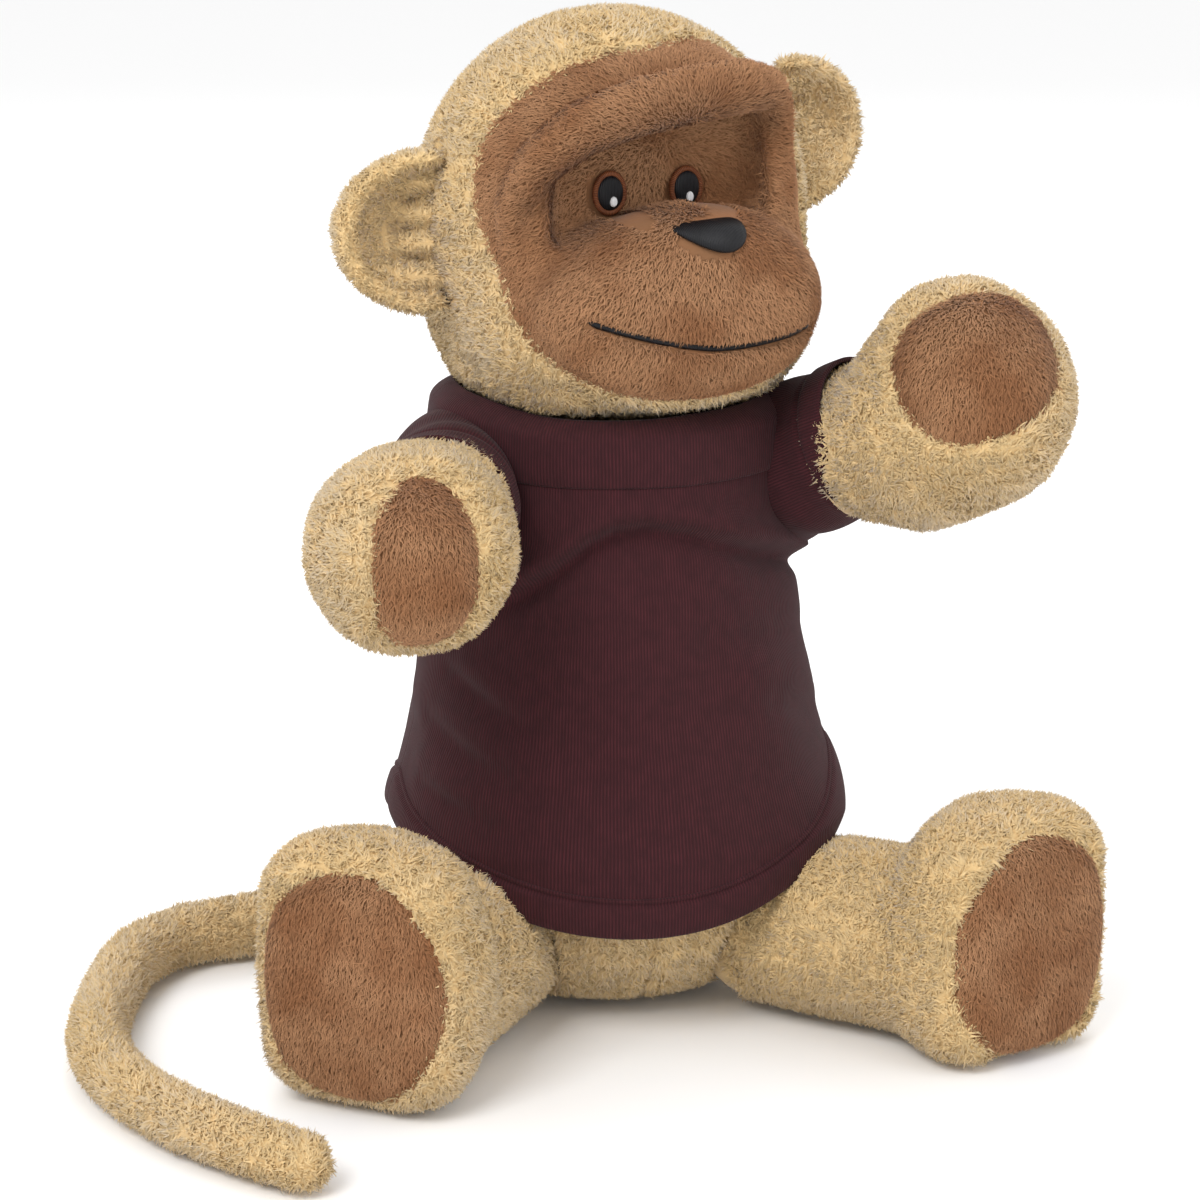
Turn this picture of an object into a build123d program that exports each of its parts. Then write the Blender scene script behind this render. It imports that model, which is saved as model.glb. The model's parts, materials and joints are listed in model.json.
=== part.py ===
"""Seated plush monkey in a jersey T-shirt, as its sewn pieces, in millimetres.

+Z is up, the monkey looks along -Y and its left side is +X.  The origin is the
middle of the flat seat.  Every shape is a function of an inset, so a fabric
skin is the outer shape less the inset one and the fibre filling is the inset
one.  Each limb ends in a round root that sits in a round socket about the same
point, so it turns there with a constant clearance.
"""
from build123d import *
import math
import os

# ---------------------------------------------------------------- clearances
running_gap = 0.35      # round root to its socket
sewn_gap = 0.15         # cloth to what it covers on the same body
skin = 2.0              # terry or plush with its pile, as a wall
jersey = 2.0            # T-shirt jersey with its lofted surface

# --------------------------------------------------------------------- torso
seat_radius = 34.0
hip_radius = 52.0
hip_height = 34.0
waist_radius = 48.0
waist_height = 80.0
chest_radius = 41.0
chest_height = 146.0
torso_height = 156.0
torso_rounding = 14.0
pellet_bag_size = (46.0, 24.0, 24.0)
pellet_bag_place = (0.0, 12.0, 24.0)

# --------------------------------------------------------------------- shirt
hem_radius = 59.0
hem_front_height = 31.0
hem_side_height = 50.0
hem_band_height = 10.0
hem_band_growth = 0.8
shirt_waist_radius = 51.5
shirt_chest_radius = 45.0
collar_radius = 43.5
collar_seam_height = 129.0
collar_front_height = 156.0
collar_side_height = 161.0

# ---------------------------------------------------------------- neck, head
neck_pivot = (0.0, 0.0, 161.0)
neck_radius = 16.0
skull_radius = 47.8
skull_height = 207.2
skull_floor = 163.0
head_yaw = 16.0

# ---------------------------------------------------------------------- face
recess_half_width = 27.0
recess_half_height = 14.0
recess_height = 220.0
recess_floor = 29.0
recess_lip = 36.0
brow_radius = 5.0
brow_half_span = 33.0
brow_end_height = 222.0
brow_top_height = 237.0
brow_end_front = 27.0
brow_top_front = 40.0
muzzle_half_width = 38.0
muzzle_radius = 24.0
muzzle_front = 33.0
muzzle_height = 186.5
nose_half_width = 9.2
nose_below_muzzle_top = 5.5
nose_top_height = muzzle_height + muzzle_radius - nose_below_muzzle_top
nose_drop = 7.0
nose_thickness = 1.3
mouth_half_width = 30.0
mouth_corner_height = 184.0
mouth_middle_height = 180.0
mouth_line_width = 1.7
mouth_thickness = 0.8
eye_spacing = 20.0
eye_height = 215.0
pupil_half_width = 3.1
pupil_half_height = 3.9
rim_width = 1.3
glint_radius = 1.0
stitch_thickness = 0.8

# ---------------------------------------------------------------------- ears
ear_radius = 20.0
ear_thickness = 9.0
ear_rounding = 3.5
ear_past_skull = 7.2
ear_reach = skull_radius + ear_past_skull
ear_back = 5.0
ear_height = {"left": 218.0, "right": 206.0}
ear_root_radius = 4.0
ear_root_sink = 1.3
ear_root_reach = skull_radius - ear_root_sink
ear_root_half_length = 9.0
ear_blade_gap = 3.2
ear_blade_start = skull_radius + ear_blade_gap

# ---------------------------------------------------------------------- arms
shoulder_side = 40.0
shoulder_front = 10.0
shoulder_height = 138.0
arm_azimuth = {"left": 42.0, "right": -18.7}
arm_elevation = {"left": 25.0, "right": -1.0}
arm_swing = {"left": (-40.0, 4.0), "right": (-22.0, 25.0)}
arm_root_radius = 19.0
arm_waist_taper = 2.5
arm_waist_radius = arm_root_radius - arm_waist_taper
arm_waist_reach = 22.0
paw_radius = 24.5
paw_reach = 65.5
sleeve_length = 32.0
sleeve_slack = 3.1
sleeve_radius = arm_waist_radius + sleeve_slack
cuff_length = 7.0
cuff_growth = 0.6
paw_pad_half_size = {"left": (18.5, 17.5), "right": (14.0, 19.5)}
paw_pad_tilt = {"left": 56.0, "right": 22.0}
paw_pad_roll = {"left": 90.0, "right": -90.0}
pad_thickness = 1.5

# ---------------------------------------------------------------------- legs
hip_side = 38.0
hip_front = 26.0
hip_pivot_height = 23.0
leg_azimuth = {"left": 40.0, "right": -32.5}
leg_swing = (0.0, 18.0)
leg_root_radius = 21.0
leg_waist_taper = 3.0
leg_waist_radius = leg_root_radius - leg_waist_taper
leg_end_radius = 21.0
leg_length = 73.0
foot_radius = 32.0
foot_back = 17.0
sole_thickness = 2.5

# ---------------------------------------------------------------------- tail
tail_radius = (11.0, 10.5, 9.5, 8.5)
tail_bend = (26.0, 24.0, 34.0, 30.0)
tail_route = (
    ((-6.0, 50.0), (-26.0, 66.0), (-64.0, 42.0)),
    ((-64.0, 42.0), (-120.0, 18.0), (-130.0, -4.0)),
    ((-130.0, -4.0), (-142.0, -46.0), (-131.0, -74.0)),
    ((-131.0, -74.0), (-117.0, -96.0), (-91.0, -128.0)),
)

sides = {"left": 1, "right": -1}
everything = 800.0
half = Box(everything, everything, everything)
nodes = {}


# ------------------------------------------------------------- shape helpers
def turned(edges, axis=Axis.Z, plane=Plane.XZ):
    """Solid of revolution from the edges of a closed outline drawn in a plane."""
    return revolve(plane * make_face(Curve() + edges), axis)


def slab(side_low, side_high, middle_low, middle_high, half_width):
    """Block along Y whose floor and roof run as arcs from side to side."""
    floor_arc = ThreePointArc((-half_width, side_low), (0, middle_low), (half_width, side_low))
    roof_arc = ThreePointArc((-half_width, side_high), (0, middle_high), (half_width, side_high))
    ends = [Line(floor_arc @ 0, roof_arc @ 0), Line(floor_arc @ 1, roof_arc @ 1)]
    face = make_face(Curve() + [floor_arc, roof_arc] + ends)
    return extrude(Plane.XZ * face, everything / 2, both=True)


def facing(pivot, azimuth, elevation=0.0):
    """Frame at a pivot: X along the limb, Z up, Y level across the limb."""
    side, rise = math.radians(azimuth), math.radians(elevation)
    along = Vector(math.cos(rise) * math.sin(side), -math.cos(rise) * math.cos(side),
                   math.sin(rise))
    across = Vector(math.cos(side), math.sin(side), 0)
    return Plane(origin=pivot, x_dir=along, z_dir=along.cross(across))


def ball(centre, radius):
    """Sphere about a point."""
    return Location(centre) * Sphere(radius)


def rod(radius, start, end):
    """Round bar along X of the working frame."""
    return Pos((start + end) / 2, 0, 0) * Cylinder(radius, end - start, rotation=(0, 90, 0))


def swing_room(frame, root_radius, shaft_radius, reach, swing, step=14.0):
    """What a limb needs to swing in: its root, and its shaft at steps of its travel."""
    lowest, highest = swing
    count = max(1, math.ceil((highest - lowest) / step))
    turns = [lowest + (highest - lowest) * i / count for i in range(count + 1)]
    shaft = rod(shaft_radius + 2 * running_gap, 0, reach)
    room = [frame.location * Sphere(root_radius + running_gap)]
    room += [frame.location * Rot(0, -turn, 0) * shaft for turn in turns]
    return room


def less(shape, tools):
    """Cut a list of tools from a shape, one after the other."""
    for tool in tools:
        shape = shape - tool
    return shape


# --------------------------------------------------------------------- torso
def torso_shape(inset):
    """Pear-shaped body with a flat seat."""
    floor, top = inset, torso_height - inset
    side = FilletPolyline(
        (seat_radius - inset, floor),
        (hip_radius - inset, hip_height * 0.35),
        (hip_radius - inset, hip_height * 1.2),
        (waist_radius - inset, waist_height),
        (chest_radius - inset, chest_height),
        (chest_radius - torso_rounding - inset, top),
        radius=torso_rounding - inset)
    return turned([side, Line(side @ 1, (0, top)), Line((0, top), (0, floor)),
                   Line((0, floor), side @ 0)])


def shirt_shape(inset):
    """Tube of the T-shirt from below its hem to above its collar, filled."""
    low, high = hem_front_height - 5, collar_side_height + 5
    side = Polyline(
        (hem_radius - inset, low),
        (hem_radius - inset, hem_side_height),
        (shirt_waist_radius - inset, waist_height),
        (shirt_chest_radius - inset, collar_seam_height),
        (collar_radius - inset, high))
    return turned([side, Line(side @ 1, (0, high)), Line((0, high), (0, low)),
                   Line((0, low), side @ 0)])


def shoulder_frame(side):
    """Working frame of one arm."""
    pivot = (sides[side] * shoulder_side, -shoulder_front, shoulder_height)
    return facing(pivot, arm_azimuth[side], arm_elevation[side])


def hip_frame(side):
    """Working frame of one leg."""
    pivot = (sides[side] * hip_side, -hip_front, hip_pivot_height)
    return facing(pivot, leg_azimuth[side])


sleeve_root_radius = arm_root_radius + sewn_gap + jersey
leg_room = []
arm_room = []
for side_name in sides:
    leg_room += swing_room(hip_frame(side_name), leg_root_radius, leg_end_radius,
                           leg_length / 2, leg_swing)
    arm_room += swing_room(shoulder_frame(side_name), sleeve_root_radius,
                           sleeve_radius + cuff_growth, sleeve_length + 4,
                           arm_swing[side_name])
tail_pivot = Vector(*tail_route[0][0], tail_radius[0])
tail_heading = Vector(*tail_route[0][1], tail_radius[0]) - tail_pivot
tail_room = [ball(tail_pivot, tail_radius[0] + running_gap)]
for turn in (-40, -27, -13, 0):
    tail_way = tail_heading.rotate(Axis.Z, turn)
    tail_frame = Plane(origin=tail_pivot, x_dir=tail_way, z_dir=(0, 0, 1))
    tail_room.append(tail_frame.location * rod(tail_radius[0] + 2 * running_gap, 0, 30))
neck_room = [ball(neck_pivot, neck_radius + running_gap)]
torso_room = leg_room + arm_room + tail_room + neck_room

pellet_bag = Pos(*pellet_bag_place) * Box(*pellet_bag_size)
pellet_bag = fillet(pellet_bag.edges(), min(pellet_bag_size) * 0.35)
torso_inside = torso_shape(skin)
nodes["pellet_bag"] = pellet_bag
nodes["torso_skin"] = less(torso_shape(0) - torso_inside, torso_room)
nodes["torso_stuffing"] = less(torso_inside, torso_room + [pellet_bag])

# --------------------------------------------------------------------- shirt
tube = shirt_shape(0) - shirt_shape(jersey)
thick_tube = shirt_shape(-hem_band_growth) - shirt_shape(jersey)
beside = hem_radius + 10
seam_side = hem_side_height + hem_band_height
seam_middle = hem_front_height + hem_band_height
flat = 0.05             # the least rise of a seam line drawn as an arc
hem_slab = slab(hem_side_height, seam_side, hem_front_height, seam_middle, beside)
body_slab = slab(seam_side, collar_seam_height, seam_middle, collar_seam_height - flat, beside)
collar_slab = slab(collar_seam_height, collar_side_height, collar_seam_height - flat,
                   collar_front_height, beside)
shirt_room = leg_room + arm_room
body = less(tube & body_slab, shirt_room)
nodes["shirt_front"] = body - Pos(0, everything / 2, 0) * half
nodes["shirt_back"] = body & Pos(0, everything / 2, 0) * half
nodes["hem_band"] = less(thick_tube & hem_slab, shirt_room)
nodes["collar_band"] = less(tube & collar_slab, shirt_room)

# ---------------------------------------------------------------------- neck
nodes["neck_wad"] = ball(neck_pivot, neck_radius)

# ---------------------------------------------------------------------- head
head_place = Location((0, 0, 0), (0, 0, head_yaw))


def skull(inset):
    """Head without its features, flat where the neck joins it."""
    shape = ball((0, 0, skull_height), skull_radius - inset)
    return shape - Pos(0, 0, skull_floor + inset - everything / 2) * half


def along_face(sketch, start, end):
    """Prism of a front-view sketch, from one distance to another in front of the neck."""
    plane = Plane(origin=(0, -start, 0), x_dir=(1, 0, 0), z_dir=(0, -1, 0))
    return extrude(plane * sketch, end - start)


def recess(inset, lip=skull_radius + 10):
    """Pocket in the front of the head that holds the eyes, as deep as its lip."""
    slot = Pos(0, recess_height) * SlotOverall(2 * (recess_half_width - inset),
                                               2 * (recess_half_height - inset))
    return along_face(slot, recess_floor + inset, lip)


def muzzle(outset):
    """Rounded muzzle, wider than it is high."""
    radius = muzzle_radius + outset
    reach = muzzle_half_width - muzzle_radius
    bar = Cylinder(radius, 2 * reach, rotation=(0, 90, 0))
    ends = [Pos(x, 0, 0) * Sphere(radius) for x in (-reach, reach)]
    return Pos(0, -muzzle_front, muzzle_height) * (bar + ends)


def ear_root(side, radius):
    """Upright bead along which an ear is sewn into the head."""
    place = Pos(sides[side] * ear_root_reach, ear_back, ear_height[side])
    ends = [Pos(0, 0, z) * Sphere(radius) for z in (-ear_root_half_length,
                                                   ear_root_half_length)]
    return place * (Cylinder(radius, 2 * ear_root_half_length) + ends)


def ear_shape(side):
    """Flat round ear with the bead it is sewn in by."""
    sign = sides[side]
    disc = Cylinder(ear_radius, ear_thickness, rotation=(90, 0, 0))
    disc = fillet(disc.edges().filter_by(GeomType.CIRCLE), ear_rounding)
    disc = Pos(sign * ear_reach, ear_back, ear_height[side]) * disc
    blade = disc - Pos(sign * (ear_blade_start - everything / 2), 0, 0) * half
    web_length = ear_blade_start - ear_root_reach
    web = Pos(sign * (ear_root_reach + web_length / 2), ear_back, ear_height[side]) * Box(
        web_length, ear_root_radius, 2 * ear_root_half_length)
    return blade + web + ear_root(side, ear_root_radius)


def ear_room(side):
    """Groove that an ear's bead turns in."""
    sign = sides[side]
    groove = ear_root(side, ear_root_radius + running_gap)
    mouth = Pos(sign * (ear_root_reach + everything / 2), ear_back, ear_height[side]) * Box(
        everything, 2 * ear_root_radius, 2 * ear_root_half_length + 2)
    return [groove, mouth]


brow_path = ThreePointArc((-brow_half_span, -brow_end_front, brow_end_height),
                          (0, -brow_top_front, brow_top_height),
                          (brow_half_span, -brow_end_front, brow_end_height))
brow_start = Plane(origin=brow_path @ 0, z_dir=brow_path % 0)
brow = sweep(brow_start * Circle(brow_radius), path=brow_path)
head_room = [recess(0), brow] + ear_room("left") + ear_room("right") + neck_room
head_inside = skull(skin)
bulge = less(muzzle(0), [skull(0), recess(0), brow])
muzzle_core = muzzle(-skin)
liner = recess(0, recess_lip) - recess(skin)
head_shapes = {
    "head_skin": less(skull(0) - head_inside, head_room),
    "head_stuffing": less(head_inside, head_room),
    "brow_roll": brow,
    "face_panel": liner - brow,
    "muzzle_skin": bulge - muzzle_core,
    "muzzle_stuffing": bulge & muzzle_core,
}

nose_low = nose_top_height - nose_drop
nose_sketch = make_face(Polyline(
    (-nose_half_width, nose_top_height), (nose_half_width, nose_top_height),
    (nose_half_width * 0.5, nose_low), (-nose_half_width * 0.1, nose_low), close=True))
nose_sketch = fillet(nose_sketch.vertices(), 1.2)
nose_band = muzzle(nose_thickness) - muzzle(0)
head_shapes["nose_patch"] = nose_band & along_face(nose_sketch, muzzle_front, everything / 2)
mouth_path = ThreePointArc((-mouth_half_width, mouth_corner_height), (0, mouth_middle_height),
                           (mouth_half_width, mouth_corner_height))
mouth_sketch = trace(mouth_path, mouth_line_width)
mouth_band = muzzle(mouth_thickness) - muzzle(0)
head_shapes["mouth_stitch"] = mouth_band & along_face(mouth_sketch, muzzle_front,
                                                      everything / 2)

eye_floor = recess_floor + skin
eye_top = eye_floor + stitch_thickness
for side_name, sign in sides.items():
    middle = Pos(sign * eye_spacing / 2, eye_height)
    pupil = middle * Ellipse(pupil_half_width, pupil_half_height)
    rim = middle * Ellipse(pupil_half_width + rim_width, pupil_half_height + rim_width) - pupil
    glint = middle * Pos(0.2 * pupil_half_width, -1) * Circle(glint_radius)
    head_shapes[f"eye_pupil_{side_name}"] = along_face(pupil, eye_floor, eye_top)
    head_shapes[f"eye_rim_{side_name}"] = along_face(rim, eye_floor, eye_top)
    head_shapes[f"eye_glint_{side_name}"] = along_face(glint, eye_top,
                                                       eye_top + stitch_thickness / 2)
    ear = ear_shape(side_name)
    behind = Pos(0, ear_back + everything / 2, 0) * half
    head_shapes[f"ear_{side_name}_front"] = ear - behind
    head_shapes[f"ear_{side_name}_back"] = ear & behind
for name, shape in head_shapes.items():
    nodes[name] = head_place * shape


# ---------------------------------------------------------------------- arms
def round_bar(root, waist_reach, waist, end_reach, end):
    """Bar along X from a ball at the pivot, through a waist, to a ball at its end."""
    start = (math.sqrt(root ** 2 - waist ** 2), waist)
    lean = math.asin((end - waist) / math.hypot(end_reach - waist_reach, end - waist))
    meet = (end_reach - end * math.sin(lean), end * math.cos(lean))
    round_root = ThreePointArc((-root, 0), (0, root), start)
    round_end = ThreePointArc(meet, (end_reach + end * math.cos(math.pi / 4),
                                     end * math.sin(math.pi / 4)), (end_reach + end, 0))
    return turned([round_root, Line(start, (waist_reach, waist)),
                   Line((waist_reach, waist), meet), round_end,
                   Line((end_reach + end, 0), (-root, 0))], Axis.X, Plane.XY)


def arm_shape(inset):
    """Arm with a ball at the shoulder and a mitt at the end."""
    return round_bar(arm_root_radius - inset, arm_waist_reach, arm_waist_radius - inset,
                     paw_reach, paw_radius - inset)


def sleeve_shape():
    """Sleeve from the armhole to its hem, with its inside left to the arm."""
    outer = sleeve_root_radius
    leave = math.sqrt(outer ** 2 - sleeve_radius ** 2)
    cap = Sphere(outer) - Pos(-everything / 2, 0, 0) * half
    bore = Sphere(arm_root_radius + sewn_gap) + rod(sleeve_radius - jersey, 0,
                                                    sleeve_length + 1)
    return (cap + rod(sleeve_radius, leave, sleeve_length)) - bore


for side_name in sides:
    frame = shoulder_frame(side_name)
    core = arm_shape(skin)
    whole = arm_shape(0)
    pad_long, pad_wide = paw_pad_half_size[side_name]
    pad_way = Rot(paw_pad_roll[side_name], 0, 0) * Rot(0, -paw_pad_tilt[side_name], 0)
    pad_prism = Pos(paw_reach, 0, 0) * pad_way * extrude(
        Plane.YZ * Ellipse(pad_wide, pad_long), paw_radius + 5)
    pad = (whole - arm_shape(pad_thickness)) & pad_prism
    cuff_start = sleeve_length - cuff_length
    cuff = rod(sleeve_radius + cuff_growth, cuff_start, sleeve_length) - rod(
        sleeve_radius - jersey, cuff_start, sleeve_length)
    sleeve = sleeve_shape() - rod(everything, cuff_start, sleeve_length + 1)
    arm_shapes = {
        f"arm_{side_name}_stuffing": core,
        f"arm_{side_name}_skin": (whole - core) - pad,
        f"paw_pad_{side_name}": pad,
        f"sleeve_{side_name}": sleeve - whole,
        f"cuff_{side_name}": cuff - whole,
    }
    for name, shape in arm_shapes.items():
        nodes[name] = frame.location * shape


# ---------------------------------------------------------------------- legs
def leg_shape(inset):
    """Leg with a ball at the hip and a round foot, not yet cut at the sole."""
    foot_reach = leg_length - foot_back
    root, waist = leg_root_radius - inset, leg_waist_radius - inset
    start = (math.sqrt(root ** 2 - waist ** 2), waist)
    shaft_end = (foot_reach, leg_end_radius - inset)
    shaft = turned([ThreePointArc((-root, 0), (0, root), start), Line(start, shaft_end),
                    Line(shaft_end, (foot_reach, 0)), Line((foot_reach, 0), (-root, 0))],
                   Axis.X, Plane.XY)
    lift = foot_radius - hip_pivot_height
    return shaft + ball((foot_reach, 0, lift), foot_radius - inset)


def sole_shape():
    """Round pad that closes the foot, domed as the foot is."""
    near, far = foot_back, foot_back + sole_thickness
    edges = [(reach, math.sqrt(foot_radius ** 2 - reach ** 2))
             for reach in (near, (near + far) / 2, far)]
    rim = ThreePointArc(*edges)
    pad = turned([rim, Line(edges[2], (far, 0)), Line((far, 0), (near, 0)),
                  Line((near, 0), edges[0])], Axis.X, Plane.XY)
    return Pos(leg_length - foot_back, 0, foot_radius - hip_pivot_height) * pad


def along_leg(start, end):
    """Block that takes in the leg between two distances from its pivot."""
    return Pos((start + end) / 2, 0, 0) * Box(end - start, everything, everything)


for side_name in sides:
    frame = hip_frame(side_name)
    core = leg_shape(skin)
    whole = leg_shape(0)
    beyond = along_leg(leg_length, leg_length + everything)
    nodes[f"leg_{side_name}_stuffing"] = frame.location * (core - beyond)
    nodes[f"leg_{side_name}_skin"] = frame.location * ((whole - core) - beyond)
    nodes[f"sole_pad_{side_name}"] = frame.location * sole_shape()


# ---------------------------------------------------------------------- tail
def tail_tube(number, inset):
    """Bar of one tail length along its route, with a ball at its far end."""
    radius = tail_radius[number] - inset
    points = [Vector(x, y, tail_radius[number]) for x, y in tail_route[number]]
    path = FilletPolyline(*points, radius=tail_bend[number])
    start = Plane(origin=path @ 0, z_dir=path % 0)
    return sweep(start * Circle(radius), path=path) + ball(points[-1], radius)


for number, route in enumerate(tail_route):
    core, whole = tail_tube(number, skin), tail_tube(number, 0)
    if number:
        parent_radius = tail_radius[number - 1]
        room = [ball((*route[0], parent_radius), parent_radius + running_gap)]
    else:
        core = core + ball(tail_pivot, tail_radius[0] - skin)
        whole = whole + ball(tail_pivot, tail_radius[0])
        room = []
    nodes[f"tail_{number + 1}_skin"] = less(whole - core, room)
    nodes[f"tail_{number + 1}_stuffing"] = less(core, room)

os.makedirs("parts", exist_ok=True)
for name, shape in nodes.items():
    export_step(shape, f"parts/{name}.step")
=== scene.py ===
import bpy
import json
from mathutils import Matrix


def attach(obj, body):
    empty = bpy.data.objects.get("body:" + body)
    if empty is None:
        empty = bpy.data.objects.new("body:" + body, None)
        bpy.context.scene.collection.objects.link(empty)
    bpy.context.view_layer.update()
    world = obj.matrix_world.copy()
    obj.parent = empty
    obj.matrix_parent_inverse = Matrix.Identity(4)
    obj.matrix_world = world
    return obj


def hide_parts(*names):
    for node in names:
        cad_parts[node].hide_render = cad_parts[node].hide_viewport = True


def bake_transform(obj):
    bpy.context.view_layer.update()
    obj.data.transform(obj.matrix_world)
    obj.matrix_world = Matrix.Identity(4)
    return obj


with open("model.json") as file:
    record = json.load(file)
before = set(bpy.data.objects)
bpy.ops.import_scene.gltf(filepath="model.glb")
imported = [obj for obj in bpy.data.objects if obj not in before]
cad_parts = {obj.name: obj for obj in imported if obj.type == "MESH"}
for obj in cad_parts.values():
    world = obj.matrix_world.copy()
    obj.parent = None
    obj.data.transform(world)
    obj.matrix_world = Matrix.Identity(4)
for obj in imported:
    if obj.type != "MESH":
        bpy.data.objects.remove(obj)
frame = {"nodes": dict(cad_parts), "record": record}

"""Looks of the seated plush monkey: looped terry, brushed plush, jersey shirt and embroidery.

Soft forms are signed distance fields in millimetres, meshed with a surface net and then
covered with real tufts.  Everything is turned into metres when its mesh is made.
"""
import json
import logging
import math
from collections.abc import Callable
from dataclasses import dataclass, field
from enum import Enum
from typing import ClassVar

import bpy
import numpy as np
from mathutils import Vector

Array = np.ndarray
Field = Callable[[Array], Array]
LOG = logging.getLogger("monkey")
MM = 0.001
HEAD_YAW = 16.0          # degrees that the head is turned at rest
ROOT_SINK = 0.35         # depth of a tuft's root under its skin, in millimetres
COMB_PULL, COMB_STRAY = 1.6, 0.55
GROUND_CLEAR = 2.4       # height above the ground where pile starts, in millimetres
DOWN = np.array([0.0, 0.0, -1.0])
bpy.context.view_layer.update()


class Side(Enum):
    """The monkey's own side, with the sign of X that it lies on."""
    LEFT = ("left", 1.0)
    RIGHT = ("right", -1.0)

    @property
    def label(self) -> str:
        """Name used by the frame's nodes and bodies."""
        return self.value[0]

    @property
    def sign(self) -> float:
        """Plus one on the left side and minus one on the right."""
        return self.value[1]

    def seed(self, base: int) -> int:
        """Seed of chance for a piece on this side."""
        return base + (self is Side.LEFT)


LEG_AZIMUTH = {Side.LEFT: 40.0, Side.RIGHT: -32.5}


class Pile(Enum):
    """Kinds of pile that cover a skin."""
    TERRY = "terry"
    PLUSH = "plush"


# ------------------------------------------------------------------ distance fields
def ellipsoid(centre: tuple, radii: tuple) -> Field:
    """Distance field of an ellipsoid.

    Args:
        centre: middle of the ellipsoid.
        radii: half sizes along X, Y and Z.
    Returns:
        A field that is negative inside.
    """
    c, r = np.array(centre, float), np.array(radii, float)

    def value(p: Array) -> Array:
        """Distance at each point.

        Args:
            p: points in millimetres.
        Returns:
            Distance at each point, negative inside.
        """
        k0 = np.linalg.norm((p - c) / r, axis=1)
        k1 = np.linalg.norm((p - c) / (r * r), axis=1)
        return k0 * (k0 - 1.0) / np.maximum(k1, 1e-6)
    return value


def rounded_box(centre: tuple, half: tuple, radius: float) -> Field:
    """Distance field of a box with round edges.

    Args:
        centre: middle of the box.
        half: half sizes over all.
        radius: edge radius.
    Returns:
        A field that is negative inside.
    """
    c, h = np.array(centre, float), np.array(half, float) - radius

    def value(p: Array) -> Array:
        """Distance at each point.

        Args:
            p: points in millimetres.
        Returns:
            Distance at each point, negative inside.
        """
        q = np.abs(p - c) - h
        return (np.linalg.norm(np.maximum(q, 0), axis=1)
                + np.minimum(q.max(axis=1), 0) - radius)
    return value


def tapered_path(points: list, radii: list) -> Field:
    """Distance field of a round bar through points, with a radius at each.

    Args:
        points: the bar's middle line.
        radii: one radius for each point.
    Returns:
        A field that is negative inside.
    """
    pts, rad = np.array(points, float), np.array(radii, float)

    def value(p: Array) -> Array:
        """Distance at each point.

        Args:
            p: points in millimetres.
        Returns:
            Distance at each point, negative inside.
        """
        best = np.full(len(p), 1e9)
        for a, b, ra, rb in zip(pts[:-1], pts[1:], rad[:-1], rad[1:]):
            t = np.clip((p - a) @ (b - a) / ((b - a) @ (b - a)), 0, 1)
            gap = np.linalg.norm(p - a - t[:, None] * (b - a), axis=1)
            best = np.minimum(best, gap - (ra + (rb - ra) * t))
        return best
    return value


def blend_min(a: Array, b: Array, reach: float) -> Array:
    """Smooth union of two distances over a reach."""
    h = np.maximum(reach - np.abs(a - b), 0) / reach
    return np.minimum(a, b) - h * h * reach / 4


def blend_max(a: Array, b: Array, reach: float) -> Array:
    """Smooth intersection of two distances over a reach."""
    return -blend_min(-a, -b, reach)


def groove(distance: Array, depth: float, width: float) -> Array:
    """What a sewn seam adds to a distance field near its line."""
    return depth * np.exp(-(distance / width) ** 2)


def surface_net(value: Field, low: tuple, high: tuple, step: float) -> tuple[Array, Array]:
    """Mesh a distance field's zero surface with quads and settle it on the field.

    Args:
        value: the field.
        low: lowest corner of the grid.
        high: highest corner of the grid.
        step: grid spacing.
    Returns:
        Vertices and quads.
    """
    low_corner = np.array(low, float)
    axes = [np.arange(a, b + step, step) for a, b in zip(low, high)]
    grid = np.stack(np.meshgrid(*axes, indexing="ij"), axis=-1)
    shape = grid.shape[:3]
    v = value(grid.reshape(-1, 3)).reshape(shape)
    cells = tuple(n - 1 for n in shape)
    total, count = np.zeros(cells + (3,)), np.zeros(cells)

    def part(offset: list) -> Array:
        """Grid values at one corner of every cell."""
        return v[tuple(slice(o, o + n) for o, n in zip(offset, cells))]

    for axis in range(3):
        u, w = [k for k in range(3) if k != axis]
        for i in (0, 1):
            for j in (0, 1):
                near = [0, 0, 0]
                near[u], near[w] = i, j
                far = list(near)
                far[axis] = 1
                a, b = part(near), part(far)
                cross = (a < 0) != (b < 0)
                t = np.where(cross, a / np.where(cross, a - b, 1), 0)
                for k in range(3):
                    total[..., k] += cross * (near[k] + (t if k == axis else 0))
                count += cross
    active = count > 0
    index = np.full(cells, -1)
    index[active] = np.arange(active.sum())
    verts = (np.argwhere(active) + total[active] / count[active][:, None]) * step + low_corner
    quads = []
    for axis in range(3):
        u, w = (axis + 1) % 3, (axis + 2) % 3
        span = [slice(1, n - 1) for n in shape]
        span[axis] = slice(0, shape[axis] - 1)
        ahead = list(span)
        ahead[axis] = slice(1, shape[axis])
        a, b = v[tuple(span)], v[tuple(ahead)]
        spots = np.argwhere((a < 0) != (b < 0))
        up = (a < 0)[tuple(spots.T)]
        spots = spots + np.array([s.start for s in span])
        unit_u, unit_w = np.eye(3, dtype=int)[u], np.eye(3, dtype=int)[w]
        ring = [index[tuple((spots - du * unit_u - dw * unit_w).T)]
                for du, dw in ((1, 1), (0, 1), (0, 0), (1, 0))]
        quad = np.stack(ring, axis=1)
        quads.append(np.where(up[:, None], quad, quad[:, ::-1]))
    faces = np.concatenate(quads)
    for _ in range(3):
        verts = relaxed(verts, faces, 0.35)
        verts = settled(value, verts)
    return verts, faces


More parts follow.
